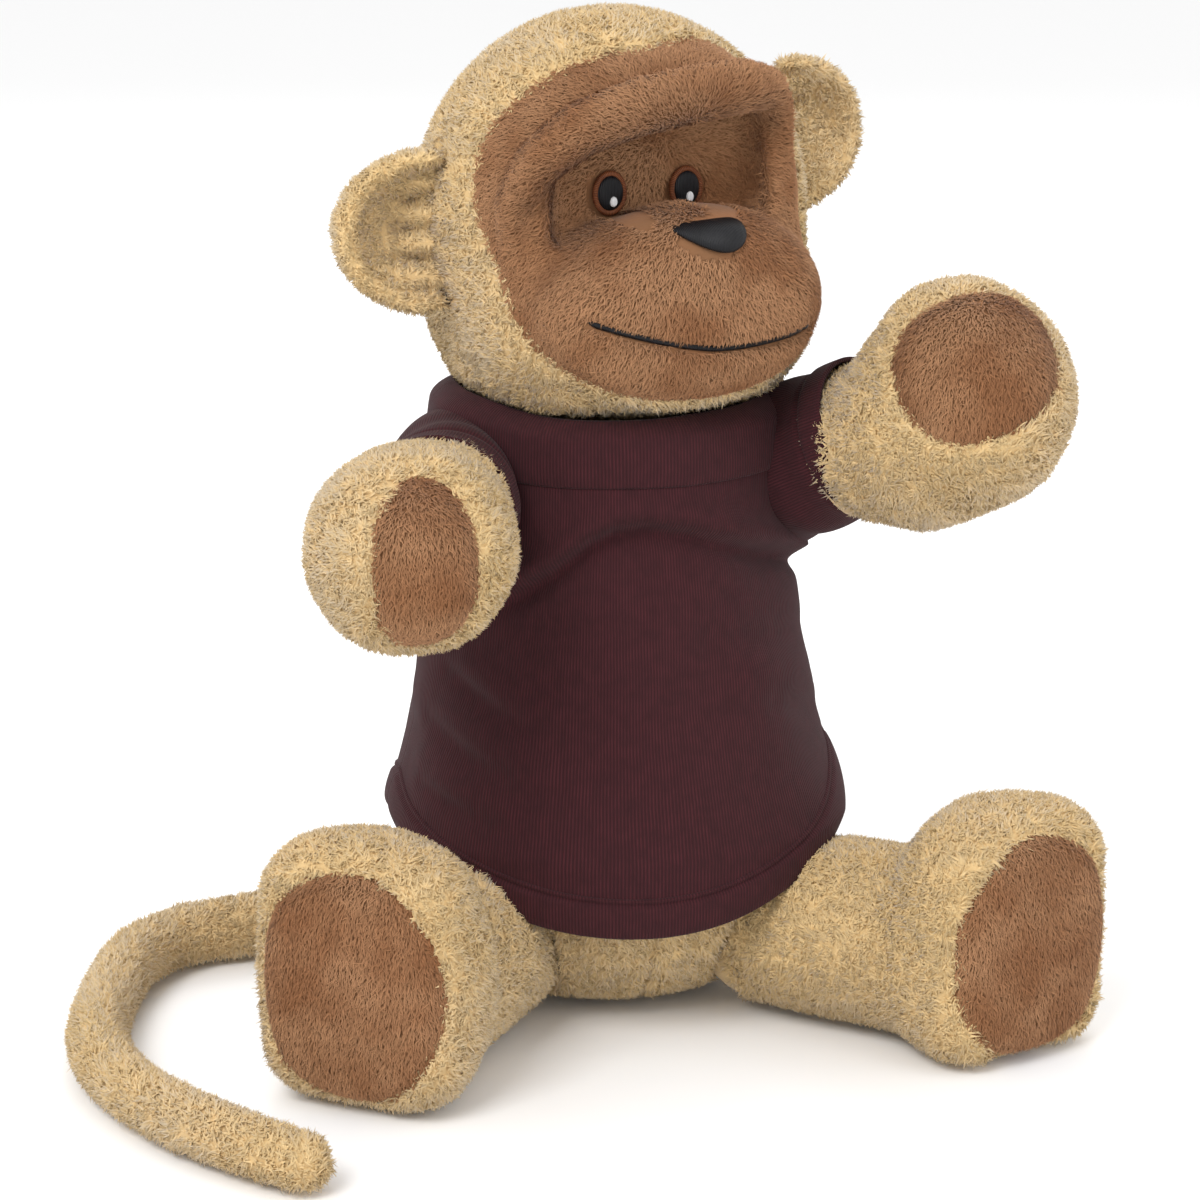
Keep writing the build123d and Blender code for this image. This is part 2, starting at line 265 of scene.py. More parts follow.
def relaxed(verts: Array, faces: Array, amount: float) -> Array:
    """Move each vertex part of the way to the middle of its neighbours.

    Args:
        verts: vertices of the mesh.
        faces: its faces.
        amount: share of the way that they move.
    Returns:
        The moved vertices.
    """
    total, count = np.zeros_like(verts), np.zeros(len(verts))
    sides = faces.shape[1]
    for k in range(sides):
        a, b = faces[:, k], faces[:, (k + 1) % sides]
        for to, other in ((a, b), (b, a)):
            np.add.at(total, to, verts[other])
            np.add.at(count, to, 1)
    return verts + amount * (total / np.maximum(count, 1)[:, None] - verts)


def gradient(value: Field, p: Array, reach: float = 0.25) -> Array:
    """Slope of a field by central differences."""
    return np.stack([(value(p + e) - value(p - e)) / (2 * reach)
                     for e in np.eye(3) * reach], axis=1)


def settled(value: Field, p: Array) -> Array:
    """Points moved onto a field's zero surface.

    Args:
        value: the field.
        p: points in millimetres.
    Returns:
        The points on the surface.
    """
    slope = gradient(value, p)
    size = np.maximum((slope ** 2).sum(axis=1), 0.05)
    return p - np.clip(value(p) / size, -1.5, 1.5)[:, None] * slope


# ---------------------------------------------------------------------- meshes
@dataclass
class Shell:
    """Vertices and faces of one skin, in millimetres, with its tints."""
    verts: Array
    faces: Array
    tones: dict = field(default_factory=dict)
    places: Array | None = None

    def part(self, keep: Array) -> "Shell":
        """The faces that a mask keeps, with only their own vertices.

        Args:
            keep: mask of the faces that stay.
        Returns:
            The smaller shell.
        """
        faces = self.faces[keep]
        used, inverse = np.unique(faces, return_inverse=True)
        return Shell(self.verts[used], inverse.reshape(faces.shape),
                     {k: v[used] for k, v in self.tones.items()})

    def centres(self) -> Array:
        """Middle of each face."""
        return self.verts[self.faces].mean(axis=1)

    def turned(self, rotation: Array, origin: Array) -> "Shell":
        """The shell in the shared frame, from its own working frame."""
        return Shell(self.verts @ rotation.T + origin, self.faces, self.tones)

    def triangles(self) -> Array:
        """Faces as triangles.

        Returns:
            Three vertex numbers for each triangle.
        """
        if self.faces.shape[1] == 3:
            return self.faces
        return np.concatenate([self.faces[:, [0, 1, 2]], self.faces[:, [0, 2, 3]]])


def add_mesh(name: str, shell: Shell, material: bpy.types.Material,
             smooth: bool = True) -> bpy.types.Object:
    """Make a mesh object from a shell.

    Args:
        name: the piece's name.
        shell: its vertices, faces and tints in millimetres.
        material: its finish.
        smooth: whether its faces are shaded smooth.
    Returns:
        The object, linked to the scene.
    """
    mesh = bpy.data.meshes.new(name)
    count, sides = shell.faces.shape
    mesh.vertices.add(len(shell.verts))
    mesh.vertices.foreach_set("co", (shell.verts * MM).astype(np.float32).ravel())
    mesh.loops.add(count * sides)
    mesh.loops.foreach_set("vertex_index", shell.faces.astype(np.int32).ravel())
    mesh.polygons.add(count)
    mesh.polygons.foreach_set("loop_start", np.arange(count, dtype=np.int32) * sides)
    mesh.polygons.foreach_set("use_smooth", np.full(count, smooth))
    for key, data in shell.tones.items():
        layer = mesh.attributes.new(key, "FLOAT", "POINT")
        layer.data.foreach_set("value", data.astype(np.float32))
    mesh.update(calc_edges=True)
    mesh.validate()
    mesh.materials.append(material)
    obj = bpy.data.objects.new(name, mesh)
    bpy.context.scene.collection.objects.link(obj)
    return obj


def scattered(shell: Shell, density: float, rng: np.random.Generator,
              most: int) -> tuple[Array, Array]:
    """Seeded points spread evenly over a shell.

    Args:
        shell: the skin.
        density: points per square millimetre.
        rng: source of chance.
        most: the most points.
    Returns:
        Points and the skin's unit normals there.
    """
    tris = shell.triangles()
    a, b, c = (shell.verts[tris[:, k]] for k in range(3))
    cross = np.cross(b - a, c - a)
    area = np.linalg.norm(cross, axis=1) / 2
    count = int(min(most, density * area.sum()))
    even = (np.arange(count) + rng.random(count)) / count * area.sum()
    pick = np.minimum(np.searchsorted(np.cumsum(area), even), len(area) - 1)
    u, v = rng.random(count), rng.random(count)
    flip = u + v > 1
    u[flip], v[flip] = 1 - u[flip], 1 - v[flip]
    points = a[pick] + u[:, None] * (b - a)[pick] + v[:, None] * (c - a)[pick]
    normals = cross[pick] / np.maximum(np.linalg.norm(cross[pick], axis=1), 1e-9)[:, None]
    return points, normals


@dataclass(frozen=True)
class PileSpec:
    """Size of the tufts of one kind of pile, in millimetres."""
    length: float
    width: float
    density: float
    lean: float
    curl: float
    sides: int
    most: int
    tip_rise: float
    clump: float = 0.0
    gather: float = 0.0


PILES = {
    Pile.TERRY: PileSpec(length=2.5, width=1.15, density=3.2, lean=0.8, curl=0.8, sides=3,
                         most=65000, tip_rise=0.62, clump=2.7, gather=0.75),
    Pile.PLUSH: PileSpec(length=2.3, width=0.34, density=5.5, lean=2.2, curl=0.35, sides=2,
                         most=64000, tip_rise=0.8),
}


def tufts(shell: Shell, kind: Pile, seed: int, comb: Callable[[Array], Array] | None = None,
          shorter: float = 1.0) -> Shell:
    """Cover a skin with curved tapered tufts.

    Args:
        shell: the skin.
        kind: which pile.
        seed: seed of its chance.
        comb: optional way the pile lies at each point.
        shorter: share of the usual length.
    Returns:
        The tufts as one shell, with a tint, and a rise from root to tip that the colour uses to
        paint shade at the roots.
    """
    spec, rng = PILES[kind], np.random.default_rng(seed)
    root, normal = scattered(shell, spec.density, rng, spec.most)
    count = len(root)
    lean = rng.normal(size=(count, 3))
    if comb is not None:
        lean = comb(root) * COMB_PULL + COMB_STRAY * lean
    else:
        patch = np.sin(root @ rng.normal(size=(3, 3)) * 0.22 + rng.random(3) * 6)
        lean = lean + 0.6 * patch
    lean -= (lean * normal).sum(axis=1)[:, None] * normal
    lean /= np.maximum(np.linalg.norm(lean, axis=1), 1e-6)[:, None]
    across = np.cross(normal, lean)
    bend = rng.normal(size=count)[:, None] * spec.curl
    size = (spec.length * shorter * (0.65 + 0.7 * rng.random(count)))[:, None]
    rise = 1 / math.hypot(1, spec.lean)
    flat = spec.lean * rise
    middle = root + size * (0.55 * rise * normal + 0.35 * flat * lean)
    tip = root + size * (spec.tip_rise * rise * normal + flat * lean + 0.4 * bend * across)
    width = (spec.width * (0.75 + 0.5 * rng.random(count)))[:, None]
    tone = rng.random(count)
    if spec.clump:
        cell = np.floor(root / spec.clump)
        wander = np.sin(cell @ np.array([[12.9, 78.2, 37.7], [39.3, 11.1, 93.5],
                                         [73.2, 52.2, 9.2]])) * 43.7
        wander -= np.floor(wander)
        pull = (cell + wander) * spec.clump - root
        pull -= (pull * normal).sum(axis=1)[:, None] * normal
        tip = tip + spec.gather * pull + 0.5 * (wander[:, :1] - 0.3) * normal
        tone = 0.45 * tone + 0.55 * wander[:, 0]
    root = root - ROOT_SINK * normal
    rings = []
    if spec.sides == 2:
        for centre, share in ((root, 1.0), (middle, 0.85)):
            rings += [centre - across * width * share / 2, centre + across * width * share / 2]
        faces = np.array([[0, 1, 3], [0, 3, 2], [2, 3, 4]])
    else:
        for turn in range(3):
            angle = 2 * math.pi * turn / 3 + 0.5
            rings.append(root + width * (math.cos(angle) * across + math.sin(angle) * lean) / 2)
        faces = np.array([[0, 1, 3], [1, 2, 3], [2, 0, 3]])
    verts = np.stack(rings + [tip], axis=1)
    per = verts.shape[1]
    faces = (faces[None] + (np.arange(count) * per)[:, None, None]).reshape(-1, 3)
    tone = np.repeat(tone, per)
    # Rise of each vertex from root (0) to tip (1); the fibre colour uses it to paint shade at the
    # roots.
    share = np.array([0.0] * spec.sides + [0.6] * (spec.sides if spec.sides == 2 else 0) + [1.0])
    return Shell(verts.reshape(-1, 3), faces, {"tone": tone, "rise": np.tile(share, count)},
                 tuft_places(count, spec.sides))


def tuft_places(count: int, sides: int) -> Array:
    """A cell of the colour map for each tuft, with its root below and its tip on top.

    Args:
        count: how many tufts.
        sides: sides of a tuft.
    Returns:
        A map place for each vertex, from 0 to 1.
    """
    across = math.ceil(math.sqrt(count))
    low, high = 0.12, 0.88
    ring = np.linspace(low, high, sides)
    levels = (low, 0.5) if sides == 2 else (low,)
    cell = [(u, v) for v in levels for u in ring] + [((low + high) / 2, high)]
    column, row = np.arange(count) % across, np.arange(count) // across
    corner = np.stack([column, row], axis=1)[:, None]
    return ((corner + np.array(cell)[None]) / across).reshape(-1, 2)


def frame_at(azimuth: float, elevation: float) -> Array:
    """Turn from a limb's working frame: X along it, Y level across it, Z up.

    Args:
        azimuth: angle from the front towards +X, in degrees.
        elevation: angle above level, in degrees.
    Returns:
        A matrix with the frame's axes as its columns.
    """
    a, e = math.radians(azimuth), math.radians(elevation)
    along = np.array([math.cos(e) * math.sin(a), -math.cos(e) * math.cos(a), math.sin(e)])
    across = np.array([math.cos(a), math.sin(a), 0.0])
    return np.stack([along, across, np.cross(along, across)], axis=1)


def turn_z(degrees: float) -> Array:
    """Turn about the upright axis.

    Args:
        degrees: how far it turns.
    Returns:
        The matrix of the turn.
    """
    a = math.radians(degrees)
    return np.array([[math.cos(a), -math.sin(a), 0], [math.sin(a), math.cos(a), 0],
                     [0, 0, 1.0]])


def joint_place(name: str) -> Array:
    """Where a joint of the frame lies, in millimetres.

    Args:
        name: the joint's name.
    Returns:
        Its place in the shared frame.
    """
    for joint in frame["record"]["behaviour"]["joints"]:
        if joint["name"] == name:
            return np.array(joint["pos_m"]) / MM
    raise KeyError(name)


# -------------------------------------------------------------------- finishes
def new_group(name: str, inputs: list, outputs: list) -> bpy.types.ShaderNodeTree:
    """Shader node group with named sockets.

    Args:
        name: the group's name.
        inputs: pairs of socket name and type.
        outputs: pairs of socket name and type.
    Returns:
        The group, with its input and output nodes named In and Out.
    """
    group = bpy.data.node_groups.new(name, "ShaderNodeTree")
    for socket, kind in inputs:
        group.interface.new_socket(name=socket, in_out="INPUT", socket_type=kind)
    for socket, kind in outputs:
        group.interface.new_socket(name=socket, in_out="OUTPUT", socket_type=kind)
    group.nodes.new("NodeGroupInput").name = "In"
    group.nodes.new("NodeGroupOutput").name = "Out"
    return group


def add_node(tree: bpy.types.ShaderNodeTree, kind: str, values: dict | None = None,
             **settings: str) -> bpy.types.ShaderNode:
    """A new shader node.

    Args:
        tree: the tree that it goes in.
        kind: its type, without the common first part.
        values: what its inputs hold.
        settings: its own settings.
    Returns:
        The node.
    """
    node = tree.nodes.new("ShaderNode" + kind)
    for name, value in settings.items():
        setattr(node, name, value)
    for socket, value in (values or {}).items():
        node.inputs[socket].default_value = value
    return node


def wire(tree: bpy.types.ShaderNodeTree, *links: tuple) -> None:
    """Link nodes, each time from a node and its output to a node and its input."""
    for source, output, target, place in links:
        tree.links.new(source.outputs[output], target.inputs[place])


def mottle_group() -> bpy.types.ShaderNodeTree:
    """Fibre colour: painted shade darkening the pile from tip to root, tone from tuft to tuft, and
    soft patches over the cloth.

    Returns:
        The group, which gives a colour and a fine fuzz.
    """
    kinds = {"Root": "NodeSocketColor", "Tip": "NodeSocketColor", "Patch": "NodeSocketColor",
             "Patch Scale": "NodeSocketFloat"}
    group = new_group("fibre_mottle", list(kinds.items()), [("Colour", "NodeSocketColor"),
                                                          ("Fuzz", "NodeSocketFloat")])
    source, out = group.nodes["In"], group.nodes["Out"]
    rise, tone = (add_node(group, "Attribute", attribute_name=n) for n in ("rise", "tone"))
    coords, noise = add_node(group, "TexCoord"), add_node(group, "TexNoise")
    fine = add_node(group, "TexNoise", {"Scale": 900.0})
    blend, patch = (add_node(group, "Mix", data_type="RGBA") for _ in range(2))
    lift = add_node(group, "Mix", {0: 1.0}, data_type="RGBA", blend_type="MULTIPLY")
    ramp = add_node(group, "MapRange", {"To Min": 0.82, "To Max": 1.14})
    strength = add_node(group, "MapRange", {"From Min": 0.42, "From Max": 0.68})
    # The rise mixes the Root colour into the Tip colour: the darker Root colour is painted shade
    # deep in the pile.
    wire(group, (coords, "Object", noise, "Vector"), (coords, "Object", fine, "Vector"),
         (source, "Patch Scale", noise, "Scale"), (rise, "Fac", blend, 0),
         (source, "Root", blend, 6), (source, "Tip", blend, 7),
         (noise, "Fac", strength, "Value"), (strength, "Result", patch, 0),
         (blend, 2, patch, 6), (source, "Patch", patch, 7), (tone, "Fac", ramp, "Value"),
         (patch, 2, lift, 6), (ramp, "Result", lift, 7), (lift, 2, out, "Colour"),
         (fine, "Fac", out, "Fuzz"))
    return group


def rib_group() -> bpy.types.ShaderNodeTree:
    """Fine upright ribs of jersey, or the close rows of satin stitch, along the cloth's map.

    Returns:
        The group, which gives a height from 0 to 1, used for the bump and for painted shade in the
        grooves.
    """
    kinds = [("Pitch", "NodeSocketFloat"), ("Wander", "NodeSocketFloat")]
    group = new_group("rib_rows", kinds, [("Height", "NodeSocketFloat")])
    source, out = group.nodes["In"], group.nodes["Out"]
    place, split = add_node(group, "UVMap", uv_map="cloth"), add_node(group, "SeparateXYZ")
    noise = add_node(group, "TexNoise", {"Scale": 60.0})
    drift, sway, divide, cycle, wave = (
        add_node(group, "Math", operation=step)
        for step in ("MULTIPLY", "ADD", "DIVIDE", "MULTIPLY", "SINE"))
    cycle.inputs[1].default_value = 2 * math.pi
    level = add_node(group, "MapRange", {"From Min": -1.0})
    wire(group, (place, "UV", split, "Vector"), (place, "UV", noise, "Vector"),
         (noise, "Fac", drift, 0), (source, "Wander", drift, 1), (split, "X", sway, 0),
         (drift, "Value", sway, 1), (sway, "Value", divide, 0), (source, "Pitch", divide, 1),
         (divide, "Value", cycle, 0), (cycle, "Value", wave, 0), (wave, "Value", level, "Value"),
         (level, "Result", out, "Height"))
    return group


def place_group(tree: bpy.types.ShaderNodeTree, group: bpy.types.ShaderNodeTree,
                values: dict) -> bpy.types.ShaderNode:
    """Put a node group in a material with its own values.

    Args:
        tree: the material's tree.
        group: the shared effect.
        values: what its inputs hold.
    Returns:
        The node.
    """
    node = add_node(tree, "Group", node_tree=group)
    for name, value in values.items():
        node.inputs[name].default_value = value
    return node


def cloth_shader(name: str, roughness: float, sheen: float, sheen_roughness: float,
                 specular: float) -> tuple[bpy.types.Material, bpy.types.ShaderNode]:
    """A new cloth material and its Principled shader.

    Args:
        name: the material's name.
        roughness: its roughness.
        sheen: weight of its sheen.
        sheen_roughness: roughness of its sheen.
        specular: level of its gloss.
    Returns:
        The material and the shader.
    """
    made = bpy.data.materials.new(name)
    made.use_nodes = True
    shader = made.node_tree.nodes["Principled BSDF"]
    for socket, value in (("Roughness", roughness), ("Sheen Weight", sheen),
                          ("Sheen Roughness", sheen_roughness),
                          ("Specular IOR Level", specular)):
        shader.inputs[socket].default_value = value
    return made, shader


def add_bump(tree: bpy.types.ShaderNodeTree, height: bpy.types.NodeSocket, strength: float,
             distance: float, shader: bpy.types.ShaderNode) -> None:
    """Bump a shader's normal by a height.

    Args:
        tree: the material's tree.
        height: the output that gives the height.
        strength: strength of the bump.
        distance: its depth in metres.
        shader: the shader that it bends.
    """
    bump = add_node(tree, "Bump", {"Strength": strength, "Distance": distance})
    tree.links.new(height, bump.inputs["Height"])
    tree.links.new(bump.outputs["Normal"], shader.inputs["Normal"])


@dataclass(frozen=True)
class FibreFinish:
    """Finish of a pile cloth: a dark root colour that paints shade deep in the pile, the tip
    colour, and rubbed patches.
    """
    name: str
    root: tuple
    tip: tuple
    patch: tuple
    patch_scale: float
    sheen: float
    bump: float

    def material(self, group: bpy.types.ShaderNodeTree,
                 backing: bool = False) -> bpy.types.Material:
        """Make the finish with the shared fibre group.

        Args:
            group: the shared fibre effect.
            backing: whether it is the knitted backing, which gets a fine bump.
        Returns:
            The material.
        """
        made, shader = cloth_shader(self.name + ("_backing" if backing else ""), 0.9,
                                    self.sheen, 0.5, 0.2)
        tree = made.node_tree
        node = place_group(tree, group, {"Root": (*self.root, 1), "Tip": (*self.tip, 1),
                                         "Patch": (*self.patch, 1),
                                         "Patch Scale": self.patch_scale})
        tree.links.new(node.outputs["Colour"], shader.inputs["Base Color"])
        if backing:
            add_bump(tree, node.outputs["Fuzz"], self.bump, 0.0004, shader)
        return made


@dataclass(frozen=True)
class ThreadFinish:
    """Finish of ribbed jersey or of satin stitch, with painted shade in the grooves between ribs
    and rows.
    """
    name: str
    dark: tuple
    light: tuple
    pitch: float
    wander: float
    depth: float
    roughness: float
    sheen: float

    def material(self, group: bpy.types.ShaderNodeTree) -> bpy.types.Material:
        """Make the finish with the shared rib group.

        Args:
            group: the shared rib effect.
        Returns:
            The material.
        """
        made, shader = cloth_shader(self.name, self.roughness, self.sheen, 0.45, 0.25)
        tree = made.node_tree
        node = place_group(tree, group, {"Pitch": self.pitch, "Wander": self.wander})
        coords = add_node(tree, "TexCoord")
        noise = add_node(tree, "TexNoise", {"Scale": 320.0, "Detail": 3.0})
        factor, ramp = add_node(tree, "Math", operation="MULTIPLY"), add_node(tree, "ValToRGB")
        for element, position, colour in zip(ramp.color_ramp.elements, (0.1, 0.62),
                                             (self.dark, self.light)):
            element.position, element.color = position, (*colour, 1)
        # Colour runs from the dark colour in the rib and stitch grooves to the light one on their
        # ridges, times a fine noise: painted shade in the grooves, mixed with random heather tone.
        wire(tree, (coords, "Object", noise, "Vector"), (node, "Height", factor, 0),
             (noise, "Fac", factor, 1), (factor, "Value", ramp, "Fac"),
             (ramp, "Color", shader, "Base Color"))
        add_bump(tree, node.outputs["Height"], 0.6, self.depth, shader)
        return made


# Root colours sit far below tip colours: painted shade deep in the pile.
TERRY = FibreFinish("terry_tan", (0.56, 0.38, 0.18), (0.80, 0.60, 0.335), (0.70, 0.50, 0.245),
                    14.0, 0.25, 0.5)
PLUSH = FibreFinish("plush_brown", (0.13, 0.057, 0.023), (0.45, 0.235, 0.118),
                    (0.26, 0.115, 0.05), 55.0, 0.08, 0.4)
# Each thread's dark colour is painted shade in the grooves of ribs and stitches, mixed with random
# heather tone.
JERSEY = ThreadFinish("jersey_maroon", (0.027, 0.0052, 0.0072), (0.056, 0.0105, 0.0145), 0.0008,
                      0.0006, 0.00022, 0.9, 0.04)
BLACK = ThreadFinish("thread_black", (0.002, 0.002, 0.003), (0.012, 0.012, 0.015), 0.0004,
                     0.0002, 0.0002, 0.42, 0.0)
RUST = ThreadFinish("thread_rust", (0.09, 0.025, 0.01), (0.30, 0.10, 0.035), 0.0004, 0.0002,
                    0.0002, 0.5, 0.0)
WHITE = ThreadFinish("thread_white", (0.65, 0.66, 0.68), (0.95, 0.95, 0.96), 0.0004, 0.0002,
                     0.0001, 0.45, 0.0)
FILL = FibreFinish("fibre_fill", (0.55, 0.55, 0.53), (0.85, 0.85, 0.83), (0.75, 0.75, 0.72),
                   30.0, 0.1, 0.3)


class Wardrobe:
    """Every finish, made once, with the shared effects in it."""

    def __init__(self) -> None:
        """Make the shared groups and the materials."""
        mottle, ribs = mottle_group(), rib_group()
        self.terry, self.plush = TERRY.material(mottle), PLUSH.material(mottle)
        self.terry_backing = TERRY.material(mottle, backing=True)
        self.plush_backing = PLUSH.material(mottle, backing=True)
        self.fill = FILL.material(mottle, backing=True)
        self.jersey = JERSEY.material(ribs)
        self.black = BLACK.material(ribs)
        self.rust = RUST.material(ribs)
        self.white = WHITE.material(ribs)

    def of(self, kind: Pile) -> bpy.types.Material:
        """Finish of a kind of pile."""
        return self.terry if kind is Pile.TERRY else self.plush

    def backing(self, kind: Pile) -> bpy.types.Material:
        """Finish of the knitted cloth that a kind of pile stands on."""
        return self.terry_backing if kind is Pile.TERRY else self.plush_backing


def pile_piece(name: str, shell: Shell, kind: Pile, wear: Wardrobe, seed: int,
               comb: Callable[[Array], Array] | None = None, shorter: float = 1.0,
               hairy: Callable[[Array], Array] | None = None) -> list:
    """A skin and the tufts on it, as two pieces.

    Args:
        name: name of the skin; its tufts add _pile.
        shell: the skin in the shared frame.
        kind: its pile.
        wear: the finishes.
        seed: seed of the tufts.
        comb: optional way the pile lies.
        shorter: share of the usual pile length.
        hairy: optional mask of the faces that carry pile.
    Returns:
        The two objects.
    """
    covered = shell if hairy is None else shell.part(hairy(shell.centres()))
    hair = tufts(covered, kind, seed, comb, shorter)
    # The skin takes the colour at a rise of 0.25, close to the dark root: painted shade in the
    # gaps between the tufts.
    base = Shell(shell.verts, shell.faces, {"tone": np.full(len(shell.verts), 0.4),
                                            "rise": np.full(len(shell.verts), 0.25)})
    skin = add_mesh(name, base, wear.backing(kind))
    pile = add_mesh(f"{name}_pile", hair, wear.of(kind))
    add_map(pile, hair.places, "OFBake")
    LOG.info("%s: %d faces, %d tuft faces", name, len(shell.faces), len(hair.faces))
    return [skin, pile]


def ride_all(objects: list, body: str) -> None:
    """Put pieces on a body.

    Args:
        objects: the pieces.
        body: the body that they ride.
    """
    for piece in objects:
        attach(piece, body)


def dress(pieces: list, fill: float, body: str, slot: str, *nodes: str) -> None:
    """Put a filled skin and its pile on a body, in place of CAD nodes.

    Args:
        pieces: the skin and its pile.
        fill: how full the skin is; not used.
        body: the body that they ride.
        slot: the finish slot that they come from; not used.
        nodes: the CAD nodes that the skin stands for.
    """
    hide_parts(*nodes)
    ride_all(pieces, body)


# ---------------------------------------------------------------------- head
@dataclass
class Head:
    """The stuffed head: round skull, sunk face, brow roll, boxy muzzle and embroidery."""
    wear: Wardrobe
    skull_centre: tuple = (0.0, 0.5, 207.3)
    skull_radii: tuple = (48.6, 46.2, 47.4)
    muzzle_centre: tuple = (0.0, -33.0, 186.5)
    muzzle_half: tuple = (38.5, 24.0, 21.5)
    hollow_centre: tuple = (-4.5, -50.0, 219.0)
    hollow_half: tuple = (28.5, 22.0, 15.5)
    hollow_tilt: float = 0.12
    eye_middle: float = -4.6
    eye_height: float = 213.8
    eye_apart: float = 10.4
    socket: float = -33.0
    floor: float = 158.6
    edge_middle: tuple = (-3.0, 212.0)
    edge_radii: tuple = (41.0, 34.5)
    step: float = 1.35

    @property
    def turn(self) -> Array:
        """Turn from the face's own frame to the shared one."""
        return turn_z(HEAD_YAW)

    def brow_line(self, p: Array) -> Array:
        """Distance to the padded roll over and beside the eyes.

        Args:
            p: points in the face's own frame.
        Returns:
            Distance at each point, negative inside.
        """
        arc = [(-38.5, -25.5, 200.0), (-39.0, -27.0, 212.0), (-36.0, -32.0, 222.5),
               (-27.0, -38.0, 231.0), (-13.0, -42.0, 236.0), (1.0, -43.0, 238.2),
               (14.0, -41.0, 239.4), (23.5, -36.5, 238.4), (28.5, -32.5, 232.0),
               (29.5, -31.0, 220.0), (29.5, -30.0, 206.0)]
        radii = [3.6, 4.6, 5.4, 6.0, 6.3, 6.3, 6.0, 5.2, 4.2, 3.6, 3.2]
        return tapered_path(arc, radii)(p)

    def muzzle(self, p: Array) -> Array:
        """Distance to the wide flat-topped muzzle with its chin and nose bridge.

        Args:
            p: points in the face's own frame.
        Returns:
            Distance at each point, negative inside.
        """
        body = ellipsoid(self.muzzle_centre, self.muzzle_half)(p)
        body = blend_min(body, rounded_box((0, -35, 188), (33.0, 19.5, 17.0), 15.5)(p), 7)
        bridge = ellipsoid((0, -42.5, 200.5), (21.0, 14.0, 11.0))(p)
        chin = ellipsoid((0, -34, 176), (30.0, 20.0, 13.5))(p)
        return blend_min(blend_min(body, bridge, 7), chin, 8)

    def mouth_height(self, x: Array) -> Array:
        """Height of the stitched smile at each distance across the face."""
        return 179.0 + 5.0 * (np.abs(x) / 31.0) ** 1.6 - 0.09 * x

    def skin(self, p: Array) -> Array:
        """Distance field of the head in the face's own frame.

        Args:
            p: points in the face's own frame.
        Returns:
            Distance at each point, negative inside.
        """
        skull = ellipsoid(self.skull_centre, self.skull_radii)(p)
        jaw = rounded_box((0, -4.0, 183.5), (43.5, 37.0, 24.5), 22.0)(p)
        throat = ellipsoid((0, -2.0, 168.0), (40.5, 41.0, 14.0))(p)
        skull = blend_min(blend_min(skull, jaw, 8.0), throat, 5.0)
        tilted = p - np.array([0, 0, 1]) * (p[:, :1] - self.hollow_centre[0]) * self.hollow_tilt
        hollow = rounded_box(self.hollow_centre, self.hollow_half, 7.0)(tilted)
        skull = blend_max(skull, -hollow, 2.6)
        skull = blend_min(skull, self.brow_line(p), 3.0)
        whole = blend_min(skull, self.muzzle(p), 2.6)
        front = p[:, 1] < -30
        crease = np.exp(-((p[:, 2] - self.mouth_height(p[:, 0])) / 1.9) ** 2)
        reach = np.clip((33.5 - np.abs(p[:, 0])) / 6, 0, 1)
        whole = whole + 1.9 * crease * reach * front
        rim = self.face_edge(p)
        whole = whole + groove(rim, 1.2, 1.6) * (p[:, 1] < -4)
        return blend_max(whole, self.floor - p[:, 2], 4.0)

    def face_edge(self, p: Array) -> Array:
        """Signed distance from the sewn edge of the brown face, negative on the face.

        Args:
            p: points in the face's own frame.
        Returns:
            Distance at each point.
        """
        x, z = (p[:, [0, 2]] - self.edge_middle).T
        across = np.abs(x) / self.edge_radii[0]
        up = np.abs(z) / (self.edge_radii[1] + 3.5 * np.clip(x / 20, 0, 1))
        power = np.where(x > 0, 2.6, 2.0)
        lobe = (across ** power + up ** power) ** (1 / power)
        upper = (lobe - 1) * 35.0
        muzzle = np.linalg.norm((p[:, [0, 2]] - [0, 188.0]) / [40.0, 23.0], axis=1)
        lower = (muzzle - 1) * 30.0
        edge = blend_min(upper, lower, 8.0)
        return np.maximum(edge, (p[:, 1] + 12.0) * 0.9)

    def comb(self, p: Array) -> Array:
        """Way the face's pile lies: out from the nose and down.

        Args:
            p: points in the shared frame.
        Returns:
            A unit direction at each point.
        """
        local = p @ self.turn
        flow = local - np.array([0, -50.0, 214.0])
        flow[:, 1] *= 0.3
        flow[:, 2] -= 12.0
        return (flow / np.linalg.norm(flow, axis=1)[:, None]) @ self.turn.T

    def build(self) -> None:
        """Mesh the head, dress it and put its pieces on the head body."""
        shell = Shell(*surface_net(self.skin, (-56, -68, 154.6), (56, 52, 262), self.step))
        on_face = self.face_edge(shell.centres()) < 0
        fur, face = shell.part(~on_face), shell.part(on_face)
        fur, face = (s.turned(self.turn, np.zeros(3)) for s in (fur, face))
        pieces = pile_piece("head_terry", fur, Pile.TERRY, self.wear, 11)
        dress(pieces, 0.8, "head", "terry_tan", "head_skin", "head_stuffing")
        brown = pile_piece("head_face", face, Pile.PLUSH, self.wear, 12, self.comb,
                           hairy=self.away_from_stitches)
        dress(brown, 0.8, "head", "plush_brown", "brow_roll", "face_panel", "muzzle_skin",
              "muzzle_stuffing")
        self.embroider()

